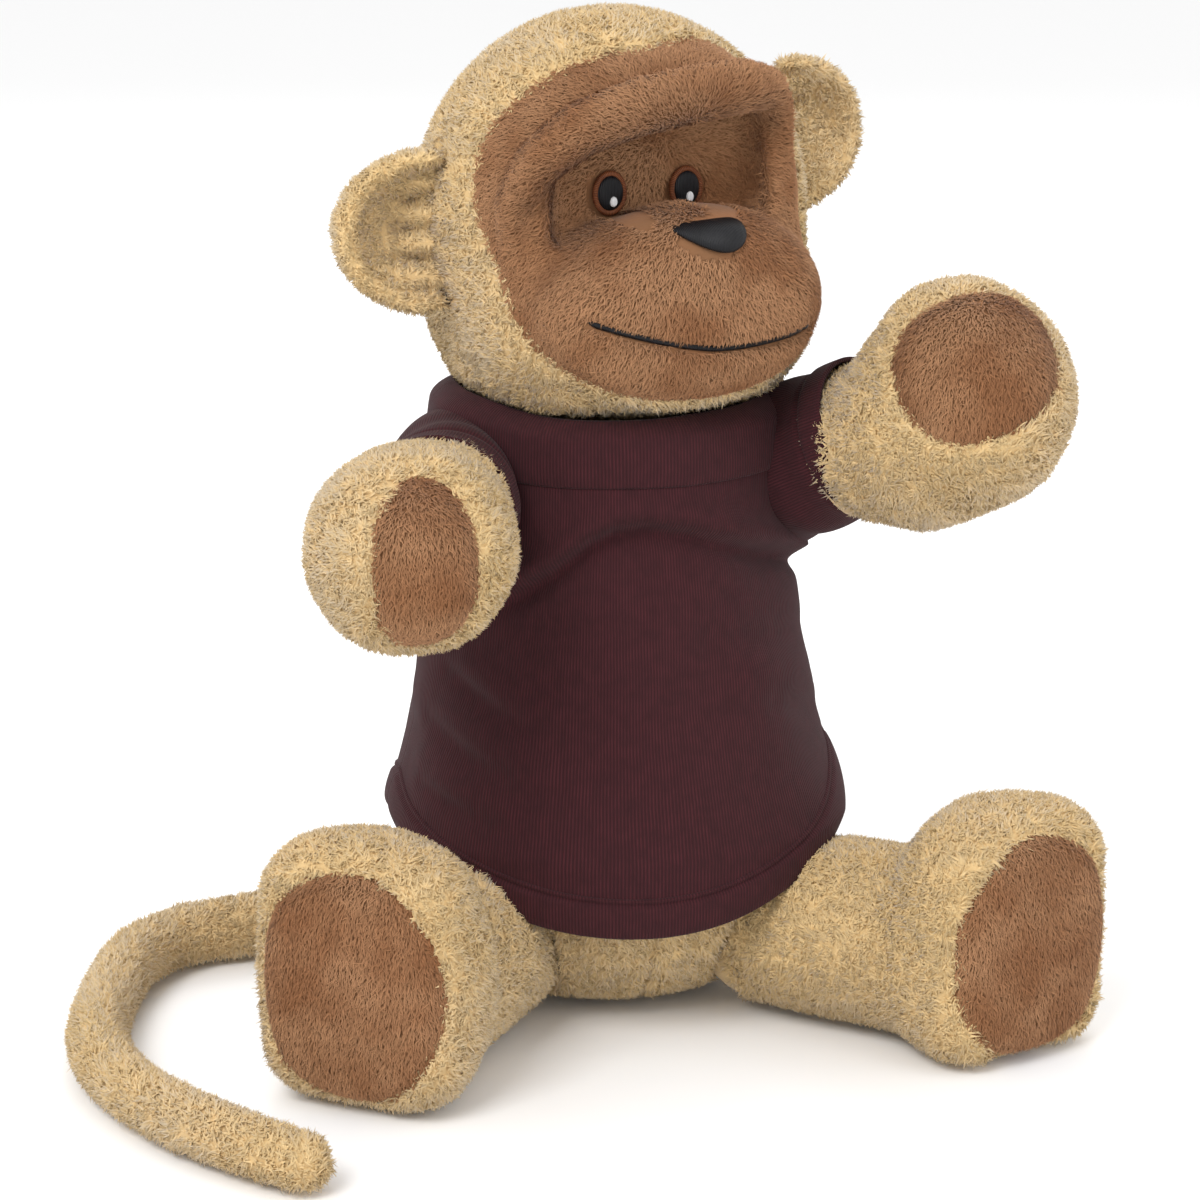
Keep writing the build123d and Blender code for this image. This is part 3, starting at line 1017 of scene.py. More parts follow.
    def away_from_stitches(self, centres: Array) -> Array:
        """Faces that carry pile, clear of the eyes, nose and mouth.

        Args:
            centres: middles of faces in the shared frame.
        Returns:
            A mask of the faces.
        """
        p = centres @ self.turn
        nose = (np.hypot(p[:, 0] / 8.8, (p[:, 2] - 205.7) / 4.4) < 1) & (p[:, 1] < -40)
        mouth = (np.abs(p[:, 2] - self.mouth_height(p[:, 0])) < 1.0) & (p[:, 1] < -38) & (
            np.abs(p[:, 0]) < 31.5)
        keep = ~(nose | mouth)
        for sign in (-1, 1):
            eye = np.hypot((p[:, 0] - self.eye_middle - sign * self.eye_apart) / 5.4,
                           (p[:, 2] - self.eye_height) / 6.4)
            keep &= ~((eye < 1) & (p[:, 1] < -20) & (p[:, 2] > 205))
        return keep

    def on_skin(self, x: Array, z: Array, lift: float, start: float = -66.0) -> Array:
        """Points of the face's skin found from the front, raised by a little.

        Args:
            x: places across the face.
            z: heights.
            lift: how far in front of the skin.
            start: how far in front the search starts.
        Returns:
            Points in the face's own frame.
        """
        y = np.full(len(x), start)
        for _ in range(60):
            p = np.stack([x, y, z], axis=1)
            y = y + np.clip(self.skin(p) * 0.75, 0, 3.0)
        return np.stack([x, y - lift, z], axis=1)

    def patch(self, name: str, outline: Array, crown: float, lift: float,
              material: bpy.types.Material, slot: str, nodes: tuple,
              start: float = -66.0) -> bpy.types.Object:
        """A block of satin stitch that crowns off the skin inside an outline.

        Args:
            name: the piece's name.
            outline: its edge across the face, as x and z.
            crown: how far its middle stands proud.
            lift: how far its edge stands proud.
            material: its thread.
            slot: its finish slot; not used.
            nodes: the CAD nodes that it stands for.
            start: how far in front the search for the skin starts.
        Returns:
            The piece.
        """
        middle = outline.mean(axis=0)
        rings = [outline * s + middle * (1 - s) for s in (1.0, 1.0, 0.93, 0.8, 0.6, 0.35, 0.08)]
        rise = [-1.6, 0.1, 0.55, 0.8, 0.94, 1.0, 1.0]
        flat = np.concatenate(rings)
        base = self.on_skin(flat[:, 0], flat[:, 1], lift, start)
        around = len(outline)
        level = np.repeat(rise, around)
        base[:, 1] -= level * crown
        faces = []
        for k in range(len(rings) - 1):
            i = np.arange(around)
            j = (i + 1) % around
            faces.append(np.stack([k * around + i, k * around + j, (k + 1) * around + j,
                                   (k + 1) * around + i], axis=1))
        cap = (len(rings) - 1) * around + np.arange(around)
        half = around // 2
        faces.append(np.stack([cap[:half - 1], cap[1:half], cap[::-1][1:half],
                               cap[::-1][:half - 1]], axis=1))
        shell = Shell(base, np.concatenate(faces)).turned(self.turn, np.zeros(3))
        piece = add_mesh(name, shell, material)
        add_map(piece, flat * MM)
        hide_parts(*nodes)
        ride_all([piece], "head")
        return piece

    def embroider(self) -> None:
        """Stitch the nose, the mouth and the two eyes."""
        nose = np.array([(-9.8, 207.9), (-8.6, 208.7), (-4, 209.2), (0, 209.4), (4, 209.5),
                         (8.0, 209.3), (9.6, 208.2), (9.6, 205.8), (7.6, 203.4), (4.6, 202.1),
                         (1.4, 202.0), (-2.4, 203.1), (-5.8, 204.8), (-8.8, 206.6)])
        self.patch("nose_stitch", rounded(nose, 3), 1.5, 0.7, self.wear.black, "thread_black",
                   ("nose_patch",))
        x = np.linspace(-30.5, 30.5, 62)
        z = self.mouth_height(x)
        core = self.on_skin(x, z, 0.35)
        mouth = tube("mouth_stitch_line", core, 0.95, self.turn, self.wear.black)
        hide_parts("mouth_stitch")
        ride_all([mouth], "head")
        for side in Side:
            x0 = self.eye_middle + side.sign * self.eye_apart
            turn = np.linspace(0, 2 * math.pi, 33)[:-1]
            ring = np.stack([x0 + 3.75 * np.cos(turn), self.eye_height + 4.6 * np.sin(turn)], 1)
            label = side.label
            self.patch(f"eye_{label}_pupil", ring, 1.6, 0.9, self.wear.black, "thread_black",
                       (f"eye_pupil_{label}",), self.socket)
            rim = self.on_skin(x0 + 3.9 * np.cos(turn), self.eye_height + 4.8 * np.sin(turn),
                               1.3, self.socket)
            rust = tube(f"eye_{label}_rust", np.concatenate([rim, rim[:1]]), 0.75, self.turn,
                        self.wear.rust)
            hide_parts(f"eye_rim_{label}")
            ride_all([rust], "head")
            glint = np.stack([x0 + 0.5 + 0.95 * np.cos(turn),
                              self.eye_height - 2.0 + 1.25 * np.sin(turn)], 1)
            self.patch(f"eye_{label}_glint", glint, 0.5, 2.6, self.wear.white, "thread_white",
                       (f"eye_glint_{label}",), self.socket)


def rounded(outline: Array, rounds: int) -> Array:
    """A closed outline with its corners cut round.

    Args:
        outline: its corners.
        rounds: how many times they are cut.
    Returns:
        The smoother outline.
    """
    for _ in range(rounds):
        ahead = np.roll(outline, -1, axis=0)
        outline = np.stack([0.75 * outline + 0.25 * ahead,
                            0.25 * outline + 0.75 * ahead], axis=1).reshape(-1, 2)
    return outline


def add_map(piece: bpy.types.Object, places: Array, name: str = "cloth") -> None:
    """Give a piece a named map from one place for each vertex.

    Args:
        piece: the mesh object.
        places: a place for each vertex.
        name: the map's name.
    """
    layer = piece.data.uv_layers.new(name=name)
    index = np.zeros(len(piece.data.loops), np.int32)
    piece.data.loops.foreach_get("vertex_index", index)
    layer.data.foreach_set("uv", places[index].astype(np.float32).ravel())


def tube(name: str, line: Array, radius: float, turn: Array,
         material: bpy.types.Material) -> bpy.types.Object:
    """A raised line of satin stitch along points of the face.

    Args:
        name: the piece's name.
        line: its middle, in the face's own frame.
        radius: its half width.
        turn: turn from that frame to the shared one.
        material: its thread.
    Returns:
        The piece.
    """
    ahead = np.gradient(line, axis=0)
    ahead /= np.linalg.norm(ahead, axis=1)[:, None]
    out = np.tile([0.0, -1.0, 0.0], (len(line), 1))
    out -= (out * ahead).sum(axis=1)[:, None] * ahead
    out /= np.linalg.norm(out, axis=1)[:, None]
    side = np.cross(ahead, out)
    around = 10
    turns = np.linspace(0, 2 * math.pi, around + 1)[:-1]
    ends = np.minimum(1, np.minimum(np.arange(len(line)), np.arange(len(line))[::-1]) / 2 + 0.25)
    if np.allclose(line[0], line[-1]):
        ends[:] = 1
    rings = line[:, None] + radius * ends[:, None, None] * (
        np.cos(turns)[None, :, None] * side[:, None] + np.sin(turns)[None, :, None] * out[:, None])
    n = len(line)
    i, k = np.meshgrid(np.arange(n - 1), np.arange(around), indexing="ij")
    after = (k + 1) % around
    faces = np.stack([i * around + k, i * around + after, (i + 1) * around + after,
                      (i + 1) * around + k], axis=-1).reshape(-1, 4)
    shell = Shell(rings.reshape(-1, 3), faces).turned(turn, np.zeros(3))
    piece = add_mesh(name, shell, material)
    length = np.concatenate([[0], np.cumsum(np.linalg.norm(np.diff(line, axis=0), axis=1))])
    places = np.stack([np.repeat(length, around), np.tile(turns, n) * radius], axis=1) * MM
    add_map(piece, places)
    return piece


@dataclass
class Ear:
    """A cupped terry ear, gathered in pleats where it joins the head."""
    wear: Wardrobe
    side: Side
    radius: float = 20.5
    root_reach: float = 44.0
    middle: float = 54.5
    height: float = 218.0
    step: float = 1.1

    def skin(self, p: Array) -> Array:
        """Distance field of the ear, in the face's own frame for the left side.

        Args:
            p: points in the face's own frame.
        Returns:
            Distance at each point, negative inside.
        """
        x, y, z = (p * [self.side.sign, 1, 1]).T
        disc = np.stack([x - self.middle, z - self.height], axis=1)
        reach = np.linalg.norm(disc, axis=1) / self.radius
        cup = 2.6 + 6.0 * (1 - np.clip(reach, 0, 1.2) ** 2)
        cup = cup - 0.012 * (z - self.height) ** 2 * (x > 40)
        thick = 2.4 + 2.9 * np.exp(-((reach - 0.84) / 0.2) ** 2)
        flat = np.abs(y - cup) - thick
        edge = (reach - 1) * self.radius + 2.0
        body = blend_max(flat, edge, 5.0)
        gather = ellipsoid((self.root_reach + 2, 5.0, self.height), (7.0, 4.6, 13.0))(
            np.stack([x, y, z], axis=1))
        body = blend_min(body, gather, 4.0)
        body = body + 1.3 * np.exp(-((x - 50) / 7) ** 2) * np.cos((z - self.height) * 0.85)
        return blend_max(body, (self.root_reach - x), 3.0)

    def build(self) -> None:
        """Mesh the ear and put its two faces on its body."""
        label = self.side.label
        low, high = (self.root_reach - 3, -8, self.height - 26), (80, 20, self.height + 26)
        if self.side is Side.RIGHT:
            low, high = (-high[0], low[1], low[2]), (-low[0], high[1], high[2])
        shell = Shell(*surface_net(self.skin, low, high, self.step))
        c = shell.centres()
        reach = np.hypot(c[:, 0] * self.side.sign - self.middle,
                         c[:, 2] - self.height) / self.radius
        normal_y = gradient(self.skin, c)[:, 1]
        inner = (normal_y < -0.1) & (reach < 0.86)
        back, front = (shell.part(k).turned(turn_z(HEAD_YAW), np.zeros(3))
                       for k in (~inner, inner))
        for skin, name, node, seed, shorter in ((back, "terry", "back", 21, 0.9),
                                                (front, "cup", "front", 23, 0.8)):
            pieces = pile_piece(f"ear_{label}_{name}", skin, Pile.TERRY, self.wear,
                                self.side.seed(seed), shorter=shorter)
            dress(pieces, 0.3, f"ear_{label}", "terry_tan", f"ear_{label}_{node}")


# ---------------------------------------------------------------------- limbs
def hanging(points: Array) -> Array:
    """Way that the pile of palms and soles lies: straight down."""
    return np.tile(DOWN, (len(points), 1))


@dataclass
class Limb:
    """A stuffed limb with a brown patch at its end, shaped in a working frame of its own."""
    wear: Wardrobe
    side: Side
    azimuth: float
    elevation: float
    name: ClassVar[str] = ""
    joint: ClassVar[str] = ""

    @property
    def pivot(self) -> Array:
        """The joint at the limb's root."""
        return joint_place(f"{self.joint}_{self.side.label}")

    @property
    def turn(self) -> Array:
        """The limb's working frame."""
        return frame_at(self.azimuth, self.elevation)

    def along(self, centres: Array) -> Array:
        """How far along the limb each place lies."""
        return ((centres - self.pivot) @ self.turn)[:, 0]

    def cover(self, fur: Shell, patch: Shell, patch_name: str, node: str, seed: int,
              hairy: Callable[[Array], Array]) -> None:
        """Dress the limb and its patch and put them on its body.

        Args:
            fur: the tan skin, in the working frame.
            patch: the brown skin there.
            patch_name: name of the brown piece.
            node: first part of the CAD node that it stands for.
            seed: seed of the tufts.
            hairy: mask of the tan faces that carry pile.
        """
        label, body = self.side.label, f"{self.name}_{self.side.label}"
        pieces = pile_piece(f"{body}_terry", fur.turned(self.turn, self.pivot), Pile.TERRY,
                            self.wear, self.side.seed(seed), hairy=hairy)
        dress(pieces, 0.8, body, "terry_tan", f"{body}_skin", f"{body}_stuffing")
        brown = pile_piece(patch_name, patch.turned(self.turn, self.pivot), Pile.PLUSH,
                           self.wear, self.side.seed(seed + 2), hanging)
        dress(brown, 0.8, body, "plush_brown", f"{node}_{label}")


@dataclass
class Arm(Limb):
    """A stuffed arm with a round mitten paw and a brown palm, and its short sleeve."""
    name = "arm"
    joint = "shoulder"
    palm_tilt: float
    palm_half: tuple
    paw_radii: tuple = (24.5, 24.0, 24.0)
    paw_drop: float = 0.0
    belly: float = 0.0
    palm_place: tuple = (0.0, 0.0)
    paw_reach: float = 65.0
    sleeve_length: float = 33.0
    sleeve_radius: float = 19.2
    shoulder_ball: float = 19.8
    cuff: float = 8.0
    step: float = 1.35

    @property
    def palm_way(self) -> Array:
        """Way that the palm faces, in the arm's working frame."""
        t = math.radians(self.palm_tilt)
        return np.array([math.cos(t), -self.side.sign * math.sin(t), 0.0])

    def palm_edge(self, p: Array) -> Array:
        """Signed distance from the palm's seam, negative on the palm.

        Args:
            p: points in the arm's working frame.
        Returns:
            Distance at each point.
        """
        way = self.palm_way
        level = np.array([-way[1], way[0], 0.0])
        q = p - np.array([self.paw_reach, 0, 0])
        u = (q @ level - self.palm_place[0]) / self.palm_half[0]
        w = (q[:, 2] - self.palm_place[1]) / self.palm_half[1]
        reach = (np.abs(u) ** 2.3 + np.abs(w) ** 2.3) ** (1 / 2.3)
        return np.maximum((reach - 1) * min(self.palm_half), 4.0 - q @ way)

    def skin(self, p: Array) -> Array:
        """Distance field of the arm and paw, in its working frame.

        Args:
            p: points in the arm's working frame.
        Returns:
            Distance at each point, negative inside.
        """
        shaft = tapered_path([(-2, 0, 0), (22, 0, 0), (46, 0, -self.belly)],
                             [18.2, 17.0, 19.5 + 0.6 * self.belly])(p)
        paw = ellipsoid((self.paw_reach, 0, -self.paw_drop), self.paw_radii)(p)
        body = blend_min(shaft, paw, 9)
        lump = 0.5 * np.sin(p[:, 0] * 0.21 + 1) * np.sin(p[:, 1] * 0.17) * np.sin(
            p[:, 2] * 0.19 + 2)
        return body + lump + groove(self.palm_edge(p), 1.3, 1.6)

    def build(self) -> None:
        """Mesh the arm, dress it and put it on its body."""
        shell = Shell(*surface_net(self.skin, (-24, -30, -30), (94, 30, 30), self.step))
        on_palm = self.palm_edge(shell.centres()) < 0
        shown = shell.centres()[:, 0] > -6

        def outside(centres: Array) -> Array:
            """Faces past the sleeve's mouth."""
            return self.along(centres) > self.sleeve_length - 6
        self.cover(shell.part(~on_palm & shown), shell.part(on_palm),
                   f"paw_{self.side.label}_palm", "paw_pad", 31, outside)
        self.sleeve()

    def sleeve(self) -> None:
        """The sleeve and its stitched cuff, soft rings round the arm."""
        label = self.side.label
        around, along = 128, 46
        turns = np.linspace(0, 2 * math.pi, around + 1)
        ball = self.shoulder_ball
        spots = np.concatenate([-ball * np.cos(np.linspace(0.12, math.pi / 2, 14))[:-1],
                                np.linspace(0, self.sleeve_length, along - 13)])
        t, s = np.meshgrid(turns, spots, indexing="ij")
        rng = np.random.default_rng(self.side.seed(41))
        phase = rng.random(4) * 6.28
        fold = (0.8 * np.sin(s * 0.34 + 2 * np.sin(t + phase[0]) + phase[1])
                + 0.5 * np.sin(3 * t + s * 0.18 + phase[2]))
        fold *= np.clip((self.sleeve_length - s) / 14, 0, 1) * np.clip(s / 8, 0, 1)
        radius = self.sleeve_radius + 0.28 * np.sin(2 * t + phase[3]) + fold * 0.8
        radius = np.where(s < 0, np.sqrt(np.maximum(ball ** 2 - s ** 2, 0.1)), radius
                          + (ball - self.sleeve_radius) * np.clip(1 - s / 6, 0, 1))
        seam = self.sleeve_length - self.cuff
        radius -= 0.9 * np.exp(-((s - seam) / 0.7) ** 2)
        radius += np.where(s > seam, 0.55, 0.0)
        local = np.stack([s, radius * np.cos(t), radius * np.sin(t)], axis=-1)
        place = local.reshape(-1, 3) @ self.turn.T + self.pivot
        whole = cloth_grid(f"sleeve_{label}_jersey", place.reshape(around + 1, along, 3),
                           self.wear.jersey, t * 19.4, s, 1.1)
        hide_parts(f"sleeve_{label}", f"cuff_{label}")
        ride_all([whole], f"arm_{label}")


def cloth_grid(name: str, grid: Array, material: bpy.types.Material, across: Array,
               along: Array, thick: float) -> bpy.types.Object:
    """A sheet of cloth from a grid of points, with its map in metres.

    Args:
        name: the piece's name.
        grid: points by row and column, closed where its ends meet.
        material: its finish.
        across: the map's first place of each point, in millimetres.
        along: the map's second place of each point.
        thick: cloth thickness.
    Returns:
        The piece.
    """
    rows, columns = grid.shape[:2]
    i, k = np.meshgrid(np.arange(rows - 1), np.arange(columns - 1), indexing="ij")
    faces = np.stack([i * columns + k, (i + 1) * columns + k, (i + 1) * columns + k + 1,
                      i * columns + k + 1], axis=-1).reshape(-1, 4)
    piece = add_mesh(name, Shell(grid.reshape(-1, 3), faces), material)
    add_map(piece, np.stack([across.ravel(), along.ravel()], axis=1) * MM)
    solid = piece.modifiers.new("thickness", "SOLIDIFY")
    solid.thickness = thick * MM
    solid.offset = -1.0
    LOG.info("%s: %d faces", name, len(faces))
    return piece


@dataclass
class Leg(Limb):
    """A stuffed leg whose wide foot faces forward with a flat brown sole."""
    name = "leg"
    joint = "hip"
    foot_radii: tuple = (22.0, 27.8, 33.4)
    toe: float = 0.0
    foot_side: float = 0.0
    foot_reach: float = 54.5
    foot_rise: float = 10.2
    sole_half: tuple = (23.6, 28.4)
    step: float = 1.4

    def foot_frame(self, p: Array) -> Array:
        """Points in the foot's own frame, turned in or out from the leg.

        Args:
            p: points in the leg's working frame.
        Returns:
            The same points in the foot's frame.
        """
        a = math.radians(self.toe)
        x, y = p[:, 0] - self.foot_reach, p[:, 1] - self.foot_side
        return np.stack([self.foot_reach + math.cos(a) * x + math.sin(a) * y,
                         -math.sin(a) * x + math.cos(a) * y, p[:, 2]], axis=1)

    def sole_edge(self, p: Array) -> Array:
        """Signed distance from the sole's seam, negative on the sole.

        Args:
            p: points in the leg's working frame.
        Returns:
            Distance at each point.
        """
        p = self.foot_frame(p)
        u = p[:, 1] / self.sole_half[0]
        w = (p[:, 2] - self.foot_rise + 0.5) / self.sole_half[1]
        reach = (np.abs(u) ** 2.2 + np.abs(w) ** 2.2) ** (1 / 2.2)
        return np.maximum((reach - 1) * self.sole_half[0], self.foot_reach + 9.5 - p[:, 0])

    def skin(self, p: Array) -> Array:
        """Distance field of the leg and foot, in its working frame.

        Args:
            p: points in the leg's working frame.
        Returns:
            Distance at each point, negative inside.
        """
        shaft = tapered_path([(0, 0, -1.0), (20, self.foot_side * 0.3, 0.5),
                              (52, self.foot_side * 0.9, 0)], [21.0, 22.5, 23.0])(p)
        q = self.foot_frame(p)
        foot = ellipsoid((self.foot_reach, 0, self.foot_rise), self.foot_radii)(q)
        block = rounded_box((self.foot_reach + 5.5, 0, self.foot_rise), (14, 26.0, 31.5), 13.5)
        foot = blend_min(foot, block(q), 6)
        body = blend_min(shaft, foot, 8)
        lump = 0.6 * np.sin(p[:, 0] * 0.16 + self.azimuth) * np.sin(p[:, 1] * 0.15 + 1) * np.sin(
            p[:, 2] * 0.17)
        crown = self.foot_reach + 20.2 - 0.0016 * (q[:, 1] ** 2 + (q[:, 2] - self.foot_rise) ** 2)
        body = blend_max(body + lump, q[:, 0] - crown, 5)
        body = body + groove(self.sole_edge(p), 1.3, 1.5)
        return blend_max(body, 1.0 - self.pivot[2] - p[:, 2], 4)

    def build(self) -> None:
        """Mesh the leg, dress it and put it on its body."""
        shell = Shell(*surface_net(self.skin, (-26, -40, -26), (88, 48, 48), self.step))
        on_sole = self.sole_edge(shell.centres()) < 0

        def clear(centres: Array) -> Array:
            """Faces off the ground and past the hip."""
            return (centres[:, 2] > GROUND_CLEAR) & (self.along(centres) > 0)
        self.cover(shell.part(~on_sole), shell.part(on_sole), f"foot_{self.side.label}_sole",
                   "sole_pad", 51, clear)


# ---------------------------------------------------------------------- torso
@dataclass
class Torso:
    """The seated body: wide bottom with a middle seam, narrowing to the neck."""
    wear: Wardrobe
    step: float = 1.8

    def skin(self, p: Array) -> Array:
        """Distance field of the body.

        Args:
            p: points in millimetres.
        Returns:
            Distance at each point, negative inside.
        """
        seat = ellipsoid((0, 1, 33), (52.5, 50.0, 36.0))(p)
        trunk = tapered_path([(0, 0, 60), (0, 0, 80), (0, 0, 116), (0, 0, 140)],
                             [46.5, 46.0, 40.0, 17.0])(p)
        body = blend_min(seat, trunk, 14)
        seam = groove(p[:, 0] - 2.0, 1.1, 1.5) * (p[:, 2] < 62) * (p[:, 1] < 0)
        body = blend_max(body + seam, 1.0 - p[:, 2], 8)
        for side, azimuth in LEG_AZIMUTH.items():
            hip = joint_place(f"hip_{side.label}")
            q = (p - hip) @ frame_at(azimuth, 0.0)
            room = tapered_path([(0, 0, 0), (70, 0, 0)], [22.0, 22.0])(q)
            body = blend_max(body, -room, 3)
        return body

    def build(self) -> None:
        """Mesh the body and put it on the torso."""
        shell = Shell(*surface_net(self.skin, (-60, -58, -4), (60, 58, 162), self.step))

        def shown(centres: Array) -> Array:
            """Faces under the hem that can be seen."""
            return (centres[:, 2] < 58) & (centres[:, 2] > GROUND_CLEAR)
        pieces = pile_piece("torso_terry", shell, Pile.TERRY, self.wear, 61, hairy=shown)
        dress(pieces, 0.7, "torso", "terry_tan", "torso_skin", "torso_stuffing", "pellet_bag",
              "neck_wad")


@dataclass(frozen=True)
class Fold:
    """A crease in cloth from one place to another, as angle in degrees and height."""
    start: tuple
    end: tuple
    depth: float
    width: float


@dataclass
class Shirt:
    """The jersey shirt: body, turned-up hem with its stitch line, and a tall ribbed collar."""
    wear: Wardrobe
    collar_seam: float = 144.5
    band: float = 10.0
    around: int = 420
    body_rows: int = 116
    hem_rows: int = 26
    collar_rows: int = 60
    side_hem: float = 50.0
    front_drop: float = 19.0
    back_drop: float = 14.0
    left_lift: float = 6.0
    rim_height: float = 159.0
    profile_heights: tuple = (28, 50, 66, 85, 105, 129, 160)
    profile_radii: tuple = (59.0, 59.0, 55.0, 51.0, 48.6, 46.4, 45.0)
    most_in: float = -4.5
    most_out: float = 3.6
    yoke_turn: tuple = (-58, -40, -29, -17, -9, 0, 14, 36, 75, 104)
    yoke_height: tuple = (109, 116.7, 122.3, 130.0, 133.2, 134.0, 132.1, 126.2, 117.5, 110)
    folds: tuple = (
        Fold((22, 104), (75, 97), 1.6, 5.0), Fold((-66, 92), (-38, 84), 1.4, 3.0),
        Fold((-74, 78), (-40, 70), 1.4, 3.2), Fold((-70, 62), (-46, 58), 1.1, 2.6),
        Fold((44, 84), (84, 74), 1.2, 4.0),
        Fold((130, 100), (210, 92), 1.6, 4.5), Fold((150, 78), (230, 84), 1.4, 4.5),
        Fold((96, 70), (136, 62), 1.2, 3.6), Fold((-118, 66), (-92, 74), 1.2, 3.6),
    )

    def hem(self, turn: Array) -> Array:
        """Height of the hem at each angle from the front.

        Args:
            turn: angles from the front, in radians.
        Returns:
            Heights above the seat.
        """
        front = np.clip(np.cos(turn), 0, 1) ** 1.2
        back = np.clip(-np.cos(turn), 0, 1) ** 1.2
        return (self.side_hem - self.front_drop * front - self.back_drop * back
                + self.left_lift * np.clip(np.sin(turn), 0, 1) ** 2)

    def radius(self, turn: Array, z: Array) -> Array:
        """Radius of the shirt at an angle and a height.

        Args:
            turn: angles from the front, in radians.
            z: heights above the seat.
        Returns:
            Distance of the cloth from the upright axis.
        """
        base = np.interp(z, self.profile_heights, self.profile_radii)
        base = base + 3.0 * np.clip((66 - z) / 16, 0, 1) * np.clip(np.sin(turn), 0, 1) ** 2
        angle = np.degrees(turn)
        bump = np.zeros_like(base)
        for fold in self.folds:
            (a0, z0), (a1, z1) = fold.start, fold.end
            ax, az = (angle - a0) * 0.85, z - z0
            bx, bz = (a1 - a0) * 0.85, z1 - z0
            along = np.clip((ax * bx + az * bz) / (bx * bx + bz * bz), 0, 1)
            off = np.hypot(ax - along * bx, az - along * bz)
            side = (az * bx - ax * bz) / math.hypot(bx, bz)
            ends = np.sin(np.pi * np.clip(along, 0.08, 0.92)) ** 0.5
            bump -= fold.depth * ends * np.exp(-(off / fold.width) ** 2)
            bump += 0.75 * fold.depth * ends * np.exp(-((side - 1.7 * fold.width) / (
                1.5 * fold.width)) ** 2) * np.exp(-(np.maximum(off - 3 * fold.width, 0)
                                                    / fold.width) ** 2)
        yoke = np.interp(angle, self.yoke_turn, self.yoke_height)
        reach = np.clip((angle + 58) / 22, 0, 1) * np.clip((104 - angle) / 26, 0, 1)
        off = z - yoke
        bump += reach * (2.6 * np.exp(-((off - 3.2) / 4.2) ** 2)
                         - 3.0 * np.exp(-((off + 2.4) / 3.0) ** 2)
                         - 1.2 * np.exp(-((off + 10) / 9.0) ** 2))
        bump += 3.2 * np.exp(-((angle - 82) / 14) ** 2 - ((z - 121) / 5.5) ** 2)
        soft = (0.5 * np.sin(3 * turn + z * 0.05) + 0.4 * np.sin(5 * turn - z * 0.11 + 1)
                + 0.3 * np.sin(9 * turn + z * 0.07 + 2))
        bump = np.clip(bump, self.most_in, self.most_out)
        return base + bump + soft * np.clip((z - 40) / 30, 0.2, 1)

    def grid(self, low: Array, high: Array, rows: int, grow: Array) -> tuple:
        """Points round the body between two heights.

        Args:
            low: lower edge's height at each angle.
            high: upper edge's height at each angle.
            rows: rows of points up the cloth.
            grow: what each row adds to the radius.
        Returns:
            Points, angle and share of the height.
        """
        turn = np.linspace(-math.pi * 0.5, math.pi * 1.5, len(low))
        t, share = np.meshgrid(turn, np.linspace(0, 1, rows), indexing="ij")
        z = low[:, None] * (1 - share) + high[:, None] * share
        r = self.radius(t, z) + grow[None]
        edge = np.clip((np.abs(np.abs(t - math.pi / 2) - math.pi)) / 0.3, 0, 1)
        start = self.radius(np.full_like(t, -math.pi / 2), z) + grow[None]
        r = r * edge + start * (1 - edge)
        return np.stack([r * np.sin(t), -r * np.cos(t), z], axis=-1), t, z

    def build(self) -> None:
        """Make the body, hem band and collar and put them on the torso."""
        around, band = self.around, self.band
        turn = np.linspace(-math.pi * 0.5, math.pi * 1.5, around)
        hem = self.hem(turn)
        top = np.full(around, self.collar_seam + 0.6)
        points, t, z = self.grid(hem + band - 0.8, top, self.body_rows,
                                 np.zeros(self.body_rows))
        body = cloth_grid("shirt_body_jersey", points, self.wear.jersey, t * 51.0, z, 1.1)
        share = np.linspace(0, 1, self.hem_rows)
        swell = 1.3 * np.sin(np.pi * share) ** 0.4 - 0.9 * np.exp(-((share - 0.86) / 0.05) ** 2)
        points, t, z = self.grid(hem, hem + band + 0.6, self.hem_rows, swell)
        band_piece = cloth_grid("shirt_hem_jersey", points, self.wear.jersey, t * 58.0, z, 1.6)
        share = np.linspace(0, 1, self.collar_rows)
        swell = (1.5 * np.sin(np.pi * np.clip(share * 1.02, 0, 1)) ** 0.35
                 - 4.6 * np.clip((share - 0.72) / 0.28, 0, 1) ** 2)
        rim = self.rim_height + 3.0 * np.sin(turn) ** 2 + 0.5 * np.sin(4 * turn + 1)
        points, t, z = self.grid(np.full(around, self.collar_seam - 1.4), rim,
                                 self.collar_rows, swell)
        collar = cloth_grid("shirt_collar_jersey", points, self.wear.jersey, t * 44.0, z, 2.0)
        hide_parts("shirt_front", "shirt_back")
        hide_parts("hem_band")
        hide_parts("collar_band")
        ride_all([body, band_piece, collar], "torso")


